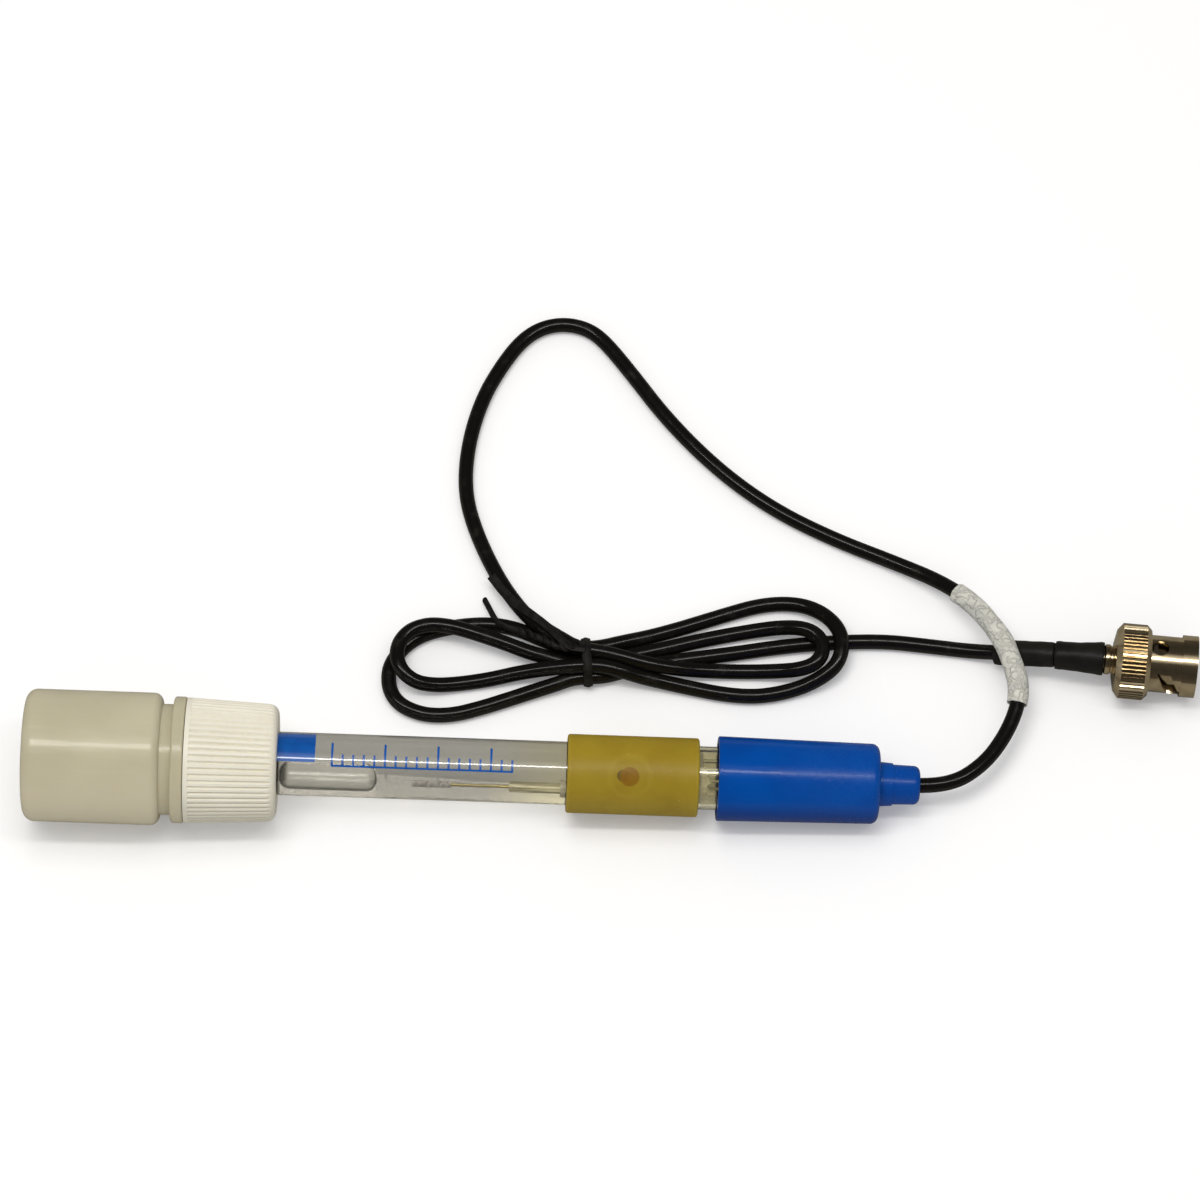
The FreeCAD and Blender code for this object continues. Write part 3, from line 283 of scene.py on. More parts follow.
class Line:  # a run of points with a place and two side directions at any distance
    def __init__(self, points, upward=(0, 0, 1)):
        self.points = points
        self.upward = Vector(upward)
        self.reach = [0.0]
        for before, after in zip(points, points[1:]):
            self.reach.append(self.reach[-1] + (after - before).length)
        self.long = self.reach[-1]

    def at(self, distance):
        distance = min(max(distance, 0.0), self.long)
        low, high = 0, len(self.reach) - 2
        while low <= high:
            k = (low + high) // 2
            if self.reach[k] > distance:
                high = k - 1
            elif self.reach[k + 1] < distance:
                low = k + 1
            else:
                break
        first, last = self.points[max(k - 1, 0)], self.points[min(k + 2, len(self.points) - 1)]
        share = (distance - self.reach[k]) / max(self.reach[k + 1] - self.reach[k], 1e-9)
        point = self.points[k].lerp(self.points[k + 1], share)
        ahead = (last - first).normalized()
        up = (self.upward - ahead * self.upward.dot(ahead)).normalized()
        return point, up.cross(ahead).normalized(), up


def facesOf(name, vertices, faces):
    mesh = bpy.data.meshes.new(name)
    mesh.from_pydata(vertices, [], faces)
    mesh.validate()
    mesh.shade_smooth()
    return place(name, mesh)


def swept(name, line, profile, section, sides, looped=False, capped=False):
    vertices, faces = [], []
    for distance, radius in profile:
        point, side, up = line.at(distance)
        for n in range(sides):
            across, above = section(distance, radius, 2 * math.pi * n / sides)
            vertices.append(point + side * across + up * above)
    rings = len(profile)
    for k in range(rings if looped else rings - 1):
        here, there = k * sides, (k + 1) % rings * sides
        for n in range(sides):
            following = (n + 1) % sides
            faces.append((here + n, there + n, there + following, here + following))
    if capped:
        faces.append(tuple(range(sides)))
        faces.append(tuple(reversed(range((rings - 1) * sides, rings * sides))))
    return facesOf(name, vertices, faces)


def spread(start, end, count):
    return [start + (end - start) * k / (count - 1) for k in range(count)]


def turned(across, above, angle):
    return (
        across * math.cos(angle) - above * math.sin(angle),
        across * math.sin(angle) + above * math.cos(angle),
    )


# Cable

cable = {"diameter": 2.9, "length": 0.73, "exit": (0.08444, 0.0, 0.0073), "roundness": 6}
cableRoute = [
    (84.4, 0.0, 7.3), (90.4, 0.0, 7.1), (97.3, 4.7, 6.9), (101.9, 11.6, 6.9),
    (104.4, 18.7, 7.6), (103.2, 24.8, 8.5), (100.5, 31.5, 8.5), (95.7, 38.8, 6.4),
    (89.7, 44.6, 3.5), (80.7, 49.4, 1.7), (69.0, 54.2, 1.46), (57.2, 60.3, 1.46),
    (46.3, 68.6, 1.46), (35.9, 79.6, 1.46), (27.6, 91.2, 1.46), (22.2, 98.0, 1.46),
    (18.5, 100.2, 1.46), (14.25, 100.8, 1.46), (10.1, 99.7, 1.46), (6.5, 96.9, 1.46),
    (2.9, 91.6, 1.46), (-1.0, 83.7, 1.46), (-3.5, 73.4, 1.46), (-3.8, 63.1, 1.46),
    (-1.3, 54.2, 1.46), (3.6, 43.9, 1.46),
    # first turn of the hank, out to the right and back
    (8.7, 36.5, 2.3), (12.1, 32.9, 4.4), (15.5, 30.5, 5.0), (19.4, 28.2, 4.9),
    (24.0, 27.6, 4.9), (27.7, 26.8, 4.8), (33.1, 25.4, 4.5), (38.3, 25.1, 3.4),
    (43.8, 25.4, 1.9), (49.2, 25.5, 1.46), (53.8, 25.6, 1.46), (58.2, 25.5, 2.2),
    (62.4, 25.3, 3.7), (65.5, 26.4, 4.4), (66.9, 29.3, 4.5), (65.7, 32.4, 4.5),
    (62.6, 33.9, 4.3), (58.3, 34.5, 2.8), (54.5, 34.4, 1.7), (51.0, 33.8, 1.46),
    (47.3, 33.0, 1.46), (41.9, 31.7, 1.46), (36.6, 30.2, 1.46), (31.3, 28.8, 1.6),
    (26.5, 27.6, 1.9), (24.3, 27.0, 2.3), (21.1, 26.4, 2.36), (17.9, 26.1, 2.36),
    # the upper left loop
    (13.6, 27.2, 2.6), (9.5, 28.1, 3.2), (5.4, 29.4, 4.0), (1.3, 30.6, 4.5), (-2.8, 31.9, 4.6),
    (-6.3, 32.7, 4.6), (-10.0, 32.9, 4.5), (-13.7, 31.4, 4.4), (-15.8, 27.8, 4.4),
    (-15.1, 23.6, 4.4), (-12.1, 21.1, 3.6), (-8.3, 21.0, 2.3), (-4.1, 21.7, 1.46),
    (-0.4, 22.3, 1.46), (2.9, 22.9, 1.6), (8.2, 24.0, 2.4), (13.3, 24.3, 3.8),
    (18.0, 24.5, 4.8), (21.3, 24.7, 4.9), (24.5, 24.6, 4.9),
    # the outer right loop
    (27.2, 24.0, 4.7), (31.8, 23.3, 3.0), (36.8, 22.7, 1.8), (42.1, 21.7, 1.46),
    (47.5, 20.7, 1.46), (52.9, 20.3, 1.46), (57.5, 20.9, 1.46), (62.1, 22.2, 1.6),
    (66.1, 23.8, 2.8), (69.3, 26.1, 4.0), (70.5, 29.8, 4.5), (69.8, 33.6, 4.4),
    (67.2, 37.2, 3.2), (63.4, 39.6, 2.0), (58.9, 40.3, 1.46), (53.9, 39.6, 1.46),
    (49.0, 38.0, 1.46), (43.7, 36.1, 1.46), (38.4, 34.2, 1.46), (33.0, 32.5, 1.46),
    (27.6, 31.0, 1.9), (24.0, 29.8, 2.3), (20.8, 29.4, 2.36), (17.6, 29.2, 2.36),
    # the lower left loop
    (13.1, 30.9, 2.0), (8.0, 33.5, 1.46), (3.3, 34.5, 1.46), (-1.6, 34.4, 1.46),
    (-7.0, 33.4, 1.46), (-11.0, 32.0, 1.46), (-13.7, 30.1, 1.46), (-15.6, 27.8, 1.46),
    (-16.9, 25.4, 1.46), (-17.2, 22.9, 1.46), (-16.8, 20.2, 1.46), (-15.4, 17.8, 1.46),
    (-12.9, 16.1, 1.46), (-9.2, 15.0, 1.46), (-4.4, 15.2, 1.46), (0.7, 16.7, 1.46),
    (5.9, 18.6, 1.46), (11.0, 20.5, 1.6), (15.4, 21.9, 2.1), (18.2, 23.0, 2.36),
    (21.4, 23.4, 2.36), (24.5, 23.7, 2.1),
    # out to the plug
    (27.9, 25.0, 1.6), (32.3, 26.5, 1.46), (37.5, 27.4, 1.46), (43.7, 28.4, 1.46),
    (50.9, 29.6, 1.46), (58.0, 30.9, 1.46), (65.4, 31.9, 1.46), (77.8, 32.7, 1.46),
    (87.1, 31.8, 1.46), (96.9, 30.7, 1.46), (109.2, 28.1, 7.25), (121.5, 27.1, 7.25),
]
cord = spline("signal_cable", cableRoute)
cableLine = Line(readPoints(cord))
cord.data.bevel_depth = cable["diameter"] / 2 * mm
cord.data.bevel_resolution = cable["roundness"]
cord.data.use_fill_caps = True
print("cable laid", round(cableLine.long * perMetre, 1), "mm")
jacketLook = {  # a noise is a pattern's size in millimetres, then its detail
    "colour": (0.005, 0.0045, 0.004), "dust": (0.014, 0.012, 0.009), "dustNoise": (3.0, 4.0),
    "dustShows": (0.55, 0.8), "dustDulls": (0.45, 0.75), "duller": 0.14, "rough": 0.16,
    "rippleNoise": (0.9, 2.0), "lumpNoise": (6.0, 2.0), "ripple": 0.3, "relief": 0.02,
    "more": {"Specular_IOR_Level": 0.4},
}


def jacket(look):  # glossy black cable jacket with faint dents and dust
    surface = Surface("cable_jacket")
    dust = surface.noise(*look["dustNoise"])
    ripple = surface.noise(*look["rippleNoise"])
    lumps = surface.noise(*look["lumpNoise"])
    dusty = surface.smooth(dust, *look["dustShows"])
    colour = surface.mix(dusty, look["colour"], look["dust"])
    rough = look["rough"] + surface.smooth(dust, *look["dustDulls"]) * look["duller"]
    return surface.solid(look, colour, rough, ripple * look["ripple"] + lumps)


cord.data.materials.append(jacket(jacketLook))

# Marker sleeve on the cable

marker = {
    "start": 28.2, "long": 28.3, "radius": 1.86, "wall": 0.1, "steps": 110, "sides": 48,
    "creases": 26, "creaseWide": (0.8, 2.6), "creaseDeep": 0.085, "creaseTurn": 0.45,
    "bulgeFrom": 1.5, "seamAt": 1.1, "seamDeep": 0.1, "seamTurn": 0.16, "wide": 1.06, "high": 0.97,
    "clear": 0.03,
}
random.seed(11)
creases = [
    (
        random.uniform(0, marker["long"]), random.uniform(0, 2 * math.pi),
        random.uniform(*marker["creaseWide"]),
    )
    for _ in range(marker["creases"])
]


def turnFrom(angle, middle):
    return math.atan2(math.sin(angle - middle), math.cos(angle - middle))


def markerSection(distance, radius, angle):
    along = distance / mm - marker["start"]
    fold = 0.0
    for middle, turn, wide in creases:
        near = ((along - middle) / wide) ** 2 + (turnFrom(angle, turn) / marker["creaseTurn"]) ** 2
        fold += marker["creaseDeep"] * math.exp(-near) * (1 if wide > marker["bulgeFrom"] else -1)
    aside = turnFrom(angle, marker["seamAt"]) / marker["seamTurn"]
    seam = marker["seamDeep"] * math.exp(-(aside**2))
    wide = radius + (fold + seam) * mm
    wide = max(wide, (cable["diameter"] / 2 + marker["clear"]) * mm)
    return marker["wide"] * wide * math.cos(angle), marker["high"] * wide * math.sin(angle)


steps = [marker["start"] * mm + d for d in spread(0.0, marker["long"] * mm, marker["steps"])]
outer = [(d, marker["radius"] * mm) for d in steps]
inner = [(d, (marker["radius"] - marker["wall"]) * mm) for d in reversed(steps)]
markerSleeve = swept(
    "marker_sleeve", cableLine, outer + inner, markerSection, marker["sides"], looped=True
)
filmLook = {
    "colour": (0.78, 0.755, 0.67), "shade": (0.62, 0.605, 0.55), "cloud": (0.74, 0.72, 0.63),
    # the crease colour is painted shade along the crease lines
    "creaseShade": (0.36, 0.355, 0.33), "mottleNoise": (2.4, 4.0), "mottleShows": (0.35, 0.7),
    "cloudNoise": (7.0, 2.0), "cloudShows": (0.45, 0.75), "cloudShare": 0.6,
    "crinkleNoise": (1.7, 3.0), "creaseShadeWide": 0.03, "creaseShadeShare": 0.5, "foldWide": 0.08,
    "rough": 0.36, "spread": 0.3, "relief": 0.18, "more": {"Subsurface_Weight": 0.15},
}


def film(look):  # milky shrunk film, mottled and crinkled, with painted shade darkening the crease lines
    surface = Surface("marker_film")
    mottle = surface.noise(*look["mottleNoise"])
    cloud = surface.noise(*look["cloudNoise"])
    mottled = surface.smooth(mottle, *look["mottleShows"])
    colour = surface.mix(mottled, look["colour"], look["shade"])
    clouded = surface.smooth(cloud, *look["cloudShows"]) * look["cloudShare"]
    colour = surface.mix(clouded, colour, look["cloud"])
    creaseShade = abs(swing(surface.noise(*look["crinkleNoise"]), 1.0))
    # painted shade: thin dark lines along the crease valleys
    line = surface.fade(creaseShade, 0.0, look["creaseShadeWide"]) * look["creaseShadeShare"]
    colour = surface.mix(line, colour, look["creaseShade"])
    fold = surface.smooth(creaseShade, 0.0, look["foldWide"])
    rough = look["rough"] + swing(mottle, look["spread"])
    return surface.solid(look, colour, rough, fold + mottle)


markerSleeve.data.materials.append(film(filmLook))

# Shrink tubes behind the plug

shrink = {
    "rear": {"start": -21.2, "long": 11.75, "radius": 2.45, "wall": 0.82, "flare": 0, "grow": 0},
    "front": {"start": -9.25, "long": 9.2, "radius": 2.7, "wall": 0.2, "flare": 0.12, "grow": 0.6},
}
shrinkEnds = {"deep": 0.16, "near": 0.5, "far": 0.35, "flareLong": 1.2, "steps": 40, "sides": 48}
shrinkDents = {"deep": 0.03, "count": 3, "twist": 0.7, "wave": 0.02, "pitch": 2.1}
headOfPlug = cableLine.long - 1.0 * mm  # where the ferrule's bead stands along the cable


def shrinkSection(distance, radius, angle):
    along = distance / mm
    phase = shrinkDents["count"] * angle + along * shrinkDents["twist"]
    dent = shrinkDents["deep"] * math.sin(phase)
    dent += shrinkDents["wave"] * math.sin(along * shrinkDents["pitch"])
    return (radius + dent * mm) * math.cos(angle), (radius + dent * mm) * math.sin(angle)


def shrunk(name, look):
    start = headOfPlug + look["start"] * mm
    outer, inner = [], []
    for step in spread(0.0, look["long"], shrinkEnds["steps"]):
        end = math.exp(-((step / shrinkEnds["near"]) ** 2))
        end += math.exp(-(((look["long"] - step) / shrinkEnds["far"]) ** 2))
        flare = look["flare"] * math.exp(-((step / shrinkEnds["flareLong"]) ** 2))
        grown = look["grow"] * (step / look["long"]) ** 2  # pulled wider over the ferrule
        radius = look["radius"] + flare - shrinkEnds["deep"] * end
        outer.append((start + step * mm, (radius + grown) * mm))
        inner.insert(0, (start + step * mm, (radius - look["wall"]) * mm))
    return swept(name, cableLine, outer + inner, shrinkSection, shrinkEnds["sides"], looped=True)


shrinkRear = shrunk("cable_shrink_rear", shrink["rear"])
shrinkFront = shrunk("cable_shrink_front", shrink["front"])
shrinkLook = {
    "colour": (0.008, 0.0075, 0.007), "shade": (0.014, 0.012, 0.01), "patch": 4.0, "grain": 0.35,
    "rough": 0.4, "spread": 0.2, "relief": 0.02, "more": {"Specular_IOR_Level": 0.22},
}
shrinkFinish = moulded("shrink_tube", shrinkLook)
shrinkRear.data.materials.append(shrinkFinish)
shrinkFront.data.materials.append(shrinkFinish)

# Wire tie

tie = {
    "half": 0.9, "thick": 0.2, "rib": 0.7, "pitch": 3.6, "apart": 0.5, "twistTo": 15.5, "ease": 2.0,
    "shortLong": 14.5, "wide": 1.25, "high": 0.66, "radius": 0.52, "firstEnd": 0.3, "lastEnd": 0.34,
    "spin": 1.2, "spinTo": 15.0, "leastApart": 0.0001, "tailHalf": 0.13, "tailRib": 0.16,
    "tailRibTurn": 0.3, "tailLean": 0.35, "tailTurns": 5.0, "taper": 0.25, "taperLong": 0.15,
    "ribSharp": 6, "wave": 0.05, "wavePitch": 1.3, "edgePitch": 2.7,
}
tieMesh = {  # steps along and sides round
    "band": (97, 20), "strandTurns": 90, "strand": (120, 16), "tail": (80, 24),
}
hank = {"turn": 4.95, "middle": (21.1, 26.4, 0)}
hankTurn = math.radians(hank["turn"])
hankAhead = Vector((math.cos(hankTurn), math.sin(hankTurn), 0))
hankAside = Vector((-math.sin(hankTurn), math.cos(hankTurn), 0))
waist = [  # across and above the waist, in millimetres
    (3.02, 0.6), (4.3, 1.05), (4.82, 2.35), (4.5, 3.5), (3.3, 5.8), (1.7, 6.72), (0, 6.7),
    (-1.85, 6.72), (-3.4, 5.8), (-4.55, 3.4), (-4.82, 2.33), (-4.3, 1.05), (-3.03, 0.58), (0, 0.5),
]
ringPoints = [Vector(hank["middle"]) + hankAside * y + Vector((0, 0, z)) for y, z in waist]
ringLine = Line(smoothed(ringPoints, cyclic=True), hankAhead)


def strip(distance, radius, angle):  # a flat strip with a wire rib down its middle
    rib = 1 + tie["rib"] * abs(math.cos(angle)) ** tie["ribSharp"]
    across = math.cos(angle) * tie["thick"] * rib
    above = math.sin(angle) * tie["half"]
    wave = tie["wave"] * math.sin(distance / mm * tie["wavePitch"])
    edge = tie["wave"] * math.sin(distance / mm * tie["edgePitch"])
    return (across + wave) * radius, above * radius * (1 + edge)


ringSteps = [(d, mm) for d in spread(0.0, ringLine.long, tieMesh["band"][0])[:-1]]
tieBand = swept("tie_band", ringLine, ringSteps, strip, tieMesh["band"][1], looped=True)
twistPath = [
    (20.6, 28.4, 6.9), (19.36, 28.3, 7.0), (18.22, 27.9, 6.75), (16.86, 27.95, 6.2),
    (15.29, 28.6, 5.5), (13.71, 29.6, 4.75), (12.14, 30.45, 4.3), (10.18, 31.09, 4.1),
    (8.22, 31.75, 3.9), (6.65, 32.53, 3.75), (5.08, 33.1, 3.7), (3.71, 33.9, 3.6),
    (2.8, 35.5, 2.9), (1.77, 38.1, 1.6), (0.74, 40.14, 1.3),
]
twistLine = Line(smoothed(twistPath))


def strandSection(distance, radius, angle):
    spin = min(distance / mm, tie["spinTo"]) * tie["spin"]
    across, above = turned(tie["wide"] * math.cos(angle), tie["high"] * math.sin(angle), spin)
    return radius * across, radius * above


def strand(name, end, turn):
    points = []
    for distance in spread(0.0, end * mm, tieMesh["strandTurns"]):
        point, side, up = twistLine.at(distance)
        angle = 2 * math.pi * distance / mm / tie["pitch"] + turn
        eased = min(1.0, max(0.0, (tie["twistTo"] - distance / mm) / tie["ease"]))
        apart = tie["apart"] * eased + tie["leastApart"]
        points.append(point + (side * math.cos(angle) + up * math.sin(angle)) * apart * mm)
    line = Line(points)
    steps, sides = tieMesh["strand"]
    middle = [(d, tie["radius"] * mm) for d in spread(0.0, line.long, steps)][1:-1]
    profile = [(0.0, tie["firstEnd"] * mm), *middle, (line.long, tie["lastEnd"] * mm)]
    return swept(name, line, profile, strandSection, sides, capped=True)


tieStrandLong = strand("tie_strand_long", twistLine.long * perMetre, 0.0)
tieStrandShort = strand("tie_strand_short", tie["shortLong"], math.pi)
flatPath = [
    (20.9, 27.2, 7.15), (19.0, 27.3, 7.05), (17.83, 27.75, 7.05), (16.65, 28.6, 7.0),
    (15.27, 30.06, 6.95), (13.18, 32.36, 6.6), (10.09, 35.24, 5.35), (7.09, 37.84, 4.2),
    (4.67, 40.45, 3.55), (3.25, 42.48, 3.35), (2.02, 44.13, 3.3),
]
flatLine = Line(smoothed(flatPath))


def flatSection(distance, radius, angle):
    share = distance / flatLine.long
    narrow = tie["taper"] * max(0.0, tie["taperLong"] - share) / tie["taperLong"]
    wide = tie["half"] * (1.0 - narrow)
    rib = tie["tailRib"] * math.exp(-((math.cos(angle) / tie["tailRibTurn"]) ** 2))
    rib *= 1 if math.sin(angle) > 0 else -1
    lean = tie["tailLean"] * math.sin(share * tie["tailTurns"])
    high = tie["tailHalf"] * math.sin(angle) + rib
    across, above = turned(wide * math.cos(angle), high, lean)
    return radius * across, radius * above


tailSteps = [(d, mm) for d in spread(0.0, flatLine.long, tieMesh["tail"][0])]
tieTail = swept("tie_tail", flatLine, tailSteps, flatSection, tieMesh["tail"][1], capped=True)
tieLook = {
    "colour": (0.007, 0.0065, 0.006), "shade": (0.016, 0.014, 0.012), "patch": 1.5, "grain": 0.3,
    "rough": 0.5, "spread": 0.2, "relief": 0.02, "more": {"Specular_IOR_Level": 0.2},
}
tieFinish = moulded("tie_plastic", tieLook)
for piece in (tieBand, tieStrandLong, tieStrandShort, tieTail):
    piece.data.materials.append(tieFinish)
print("label, shrink tubes and tie made")

# Storage bottle and cap

bottleLook = {
    "colour": (0.56, 0.52, 0.378), "shade": (0.51, 0.47, 0.338), "streak": (0.61, 0.57, 0.44),
    "cloudNoise": (14.0, 3.0), "cloudShows": (0.3, 0.75), "streakNoise": (1.6, 3.0, 0.06),
    # the low colour is painted light, lighter on the lower side
    "streakShows": (0.55, 0.8), "streakShare": 0.35, "low": (0.68, 0.62, 0.46),
    "paintedLowAcross": (-11.0, 1.0), "paintedLowShare": 0.6, "neck": (0.42, 0.38, 0.25),
    "neckFrom": (25.5, 27.5), "neckShare": 0.3, "rough": 0.19, "spread": 0.2,
    "fineNoise": (0.25, 2.0), "fine": 0.25, "relief": 0.05,
    "more": {
        "Subsurface_Weight": 0.6, "Subsurface_Radius": (0.006, 0.005, 0.0035),
        "Specular_IOR_Level": 0.55,
    },
}


def bottleFinish(look):  # hazy soft plastic with faint blow-moulding streaks, and painted light on its lower side
    surface = Surface("bottle_plastic")
    spot = surface.inFrame(electrodeFrame)
    along, across, _ = spot
    cloud = surface.noise(*look["cloudNoise"])
    streak = surface.streaks(spot, *look["streakNoise"])
    fine = surface.noise(*look["fineNoise"])
    clouded = surface.smooth(cloud, *look["cloudShows"])
    colour = surface.mix(clouded, look["colour"], look["shade"])
    streaked = surface.smooth(streak, *look["streakShows"]) * look["streakShare"]
    colour = surface.mix(streaked, colour, look["streak"])
    # painted light: lighter toward the lower side
    paintedLowShading = surface.fade(across, *look["paintedLowAcross"]) * look["paintedLowShare"]
    colour = surface.mix(paintedLowShading, colour, look["low"])
    neck = surface.smooth(along, *look["neckFrom"]) * look["neckShare"]
    colour = surface.mix(neck, colour, look["neck"])
    rough = look["rough"] + swing(streak, look["spread"])
    return surface.solid(look, colour, rough, streak + fine * look["fine"])


dress(bottleFinish(bottleLook), "storage_bottle")
capLook = {
    # the groove colour and the low colour are painted shade
    "colour": (0.83, 0.8, 0.7), "shade": (0.8, 0.765, 0.66), "groove": (0.66, 0.60, 0.44),
    "cloudNoise": (9.0, 3.0), "taper": 0.046, "rootToCrest": (13.05, 13.5), "grooveShare": 0.15,
    "low": (0.6, 0.57, 0.46), "paintedLowAcross": (-12.0, -4.0), "paintedLowShare": 0.5, "rough": 0.4,
    "spread": 0.12, "fineNoise": (0.2, 2.0), "relief": 0.01,
    "more": {
        "Subsurface_Weight": 0.2, "Subsurface_Radius": (0.002, 0.0016, 0.001),
        "Specular_IOR_Level": 0.4,
    },
}


def capFinish(look):  # ivory moulded plastic, with painted shade: yellower and darker in the grooves, greyer low down
    surface = Surface("white_plastic")
    along, across, above = surface.inFrame(electrodeFrame)
    radius = surface.fromAxis(across, above) + along * look["taper"]
    # painted shade in the grooves, strongest at the root
    groove = surface.fade(radius, *look["rootToCrest"]) * look["grooveShare"]
    cloud = surface.noise(*look["cloudNoise"])
    fine = surface.noise(*look["fineNoise"])
    clouded = surface.smooth(cloud, *usual["shadeShows"])
    colour = surface.mix(clouded, look["colour"], look["shade"])
    colour = surface.mix(groove, colour, look["groove"])
    # painted shade: darker on the lower side
    paintedLowShading = surface.fade(across, *look["paintedLowAcross"]) * look["paintedLowShare"]
    colour = surface.mix(paintedLowShading, colour, look["low"])
    rough = look["rough"] + swing(fine, look["spread"])
    return surface.solid(look, colour, rough, fine)


dress(capFinish(capLook), "storage_cap")
ringLook = {
    "colour": (0.09, 0.04, 0.02), "shade": (0.12, 0.055, 0.03), "patch": 2.0, "grain": 0.2,
    "rough": 0.5, "relief": 0.02,
}
dress(moulded("ring_rubber", ringLook), "cap_o_ring")
washerLook = {
    "colour": (0.7, 0.67, 0.6), "shade": (0.64, 0.6, 0.52), "patch": 4.0, "grain": 0.2,
    "rough": 0.4, "relief": 0.01,
}
dress(moulded("washer_plastic", washerLook), "slip_washer")

# Glass, fill and what shows inside

glassLook = {
    # low is painted shade on the lower side, and high is the colour toward the top
    "index": 1.36, "wallTo": 5.5, "wetTo": 122.0, "low": (0.4, 0.395, 0.38),
    "high": (1.0, 0.995, 0.98), "shadeLowToHigh": (-6.0, 5.0), "drawn": (0.6, 0.595, 0.57),
    "drawnNoise": (1.5, 2.0, 0.03), "drawnShows": (0.5, 0.75), "drawnShare": 0.15,
    # the amber colour is painted amber light beside the sleeve, and the colour over the bubble is
    # painted light
    "amberLight": (0.97, 0.92, 0.68), "amberLightFrom": (84.0, 103.0), "amberLightTo": (103.5, 104.5),
    "amberLightShare": 0.85, "bubbleLight": (1.0, 0.995, 0.97), "bubbleAlong": (57.6, 8.4, 9.2),
    "bubbleAcross": (-1.75, 1.9, 2.4), "gap": (0.74, 0.7, 0.52), "gapFrom": (119.0, 121.0),
    "waveNoise": (5.0, 2.0, 0.08), "waveRough": 0.03, "waveDeep": 0.01,
    "inner": (0.97, 0.965, 0.95), "shadow": (0.93, 0.925, 0.91),
}
coat = {"Coat_Weight": 1.0, "Coat_Roughness": 0.04, "Coat_IOR": 1.7}
bubble = {"start": 48.2, "end": 66.8, "radius": 2.3, "aside": 2.58, "turn": 43.0}


def seeThrough(surface, clear, tint):  # light passes, so that the inside is lit
    shadow, diffuse = surface.lightPath("Is Shadow Ray"), surface.lightPath("Is Diffuse Ray")
    return surface.blend(surface.sum("MAXIMUM", shadow, diffuse), clear, surface.passing(tint))


def glassFinish(look):  # clear glass with faint drawn lines, painted shade darkening its lower side, and painted light beside the amber sleeve and over the bubble
    surface = Surface("clear_glass")
    spot = surface.inFrame(electrodeFrame)
    along, across, above = spot
    wet = (surface.fromAxis(across, above) < look["wallTo"]) * (along < look["wetTo"])
    wave = surface.streaks(spot, *look["waveNoise"])
    drawn = surface.streaks(spot, *look["drawnNoise"])
    # painted shade: darker toward the lower side, lighter toward the top
    tint = surface.mix(surface.smooth(across, *look["shadeLowToHigh"]), look["low"], look["high"])
    lines = surface.smooth(drawn, *look["drawnShows"]) * look["drawnShare"]
    tint = surface.mix(lines, tint, look["drawn"])
    # painted light: amber-tinted light beside the sleeve
    amberLight = surface.smooth(along, *look["amberLightFrom"]) * surface.fade(along, *look["amberLightTo"])
    tint = surface.mix(amberLight * look["amberLightShare"], tint, look["amberLight"])
    # painted light: lighter over the bubble
    middle, near, far = look["bubbleAlong"]
    bubbleLight = surface.fade(abs(along - middle), near, far)
    middle, near, far = look["bubbleAcross"]
    bubbleLight = bubbleLight * surface.fade(abs(across - middle), near, far)
    tint = surface.mix(bubbleLight, tint, look["bubbleLight"])
    tint = surface.mix(surface.smooth(along, *look["gapFrom"]), tint, look["gap"])
    clear = surface.shader(
        Base_Color=tint, Roughness=wave * look["waveRough"], IOR=look["index"],
        Transmission_Weight=1.0, Normal=surface.bump(wave, look["waveDeep"]), **coat,
    )
    inside = surface.blend(wet, clear, surface.passing(look["inner"]))
    return surface.done(seeThrough(surface, inside, look["shadow"]))


fillLook = {
    "colour": (1.0, 0.99, 0.95), "index": 1.25, "coatIndex": 1.8, "coatRough": 0.12,
    "bubbleShare": 0.55, "skin": 0.03, "past": 0.1, "wall": (0.93, 0.925, 0.91),
    "waveNoise": (3.0, 1.0), "waveRough": 0.02, "shadow": (0.97, 0.97, 0.96),
}


def fillFinish(look):  # only the bubble's wall bends the light
    surface = Surface("electrolyte")
    along, across, above = surface.inFrame(electrodeFrame)
    turn = math.radians(bubble["turn"])
    away = surface.fromAxis(
        across + bubble["aside"] * math.sin(turn), above - bubble["aside"] * math.cos(turn)
    )
    onBubble = (away < bubble["radius"] + look["skin"]) * (along > bubble["start"] - look["past"])
    onBubble = onBubble * (along < bubble["end"] + look["past"])
    wave = surface.noise(*look["waveNoise"])
    clear = surface.shader(
        Base_Color=look["colour"], Roughness=wave * look["waveRough"], IOR=look["index"],
        Transmission_Weight=1.0, Coat_Weight=1.0, Coat_Roughness=look["coatRough"],
        Coat_IOR=look["coatIndex"],
    )
    passing = surface.passing(look["wall"])
    walls = surface.blend(onBubble * look["bubbleShare"], passing, clear)
    return surface.done(seeThrough(surface, walls, look["shadow"]))


stemLook = {
    "colour": (0.96, 0.96, 0.94), "index": 1.45, "rough": 0.02, "waveNoise": (3.0, 1.0),
    "waveRough": 0.02, "shadow": (0.93, 0.93, 0.9),
}


def stemFinish(look):
    surface = Surface("stem_glass")
    wave = surface.noise(*look["waveNoise"])
    clear = surface.shader(
        Base_Color=look["colour"], Roughness=look["rough"] + wave * look["waveRough"],
        IOR=look["index"], Transmission_Weight=1.0,
    )
    return surface.done(seeThrough(surface, clear, look["shadow"]))


dress(glassFinish(glassLook), "glass_body")
dress(fillFinish(fillLook), "electrolyte_fill")
dress(stemFinish(stemLook), "inner_stem")

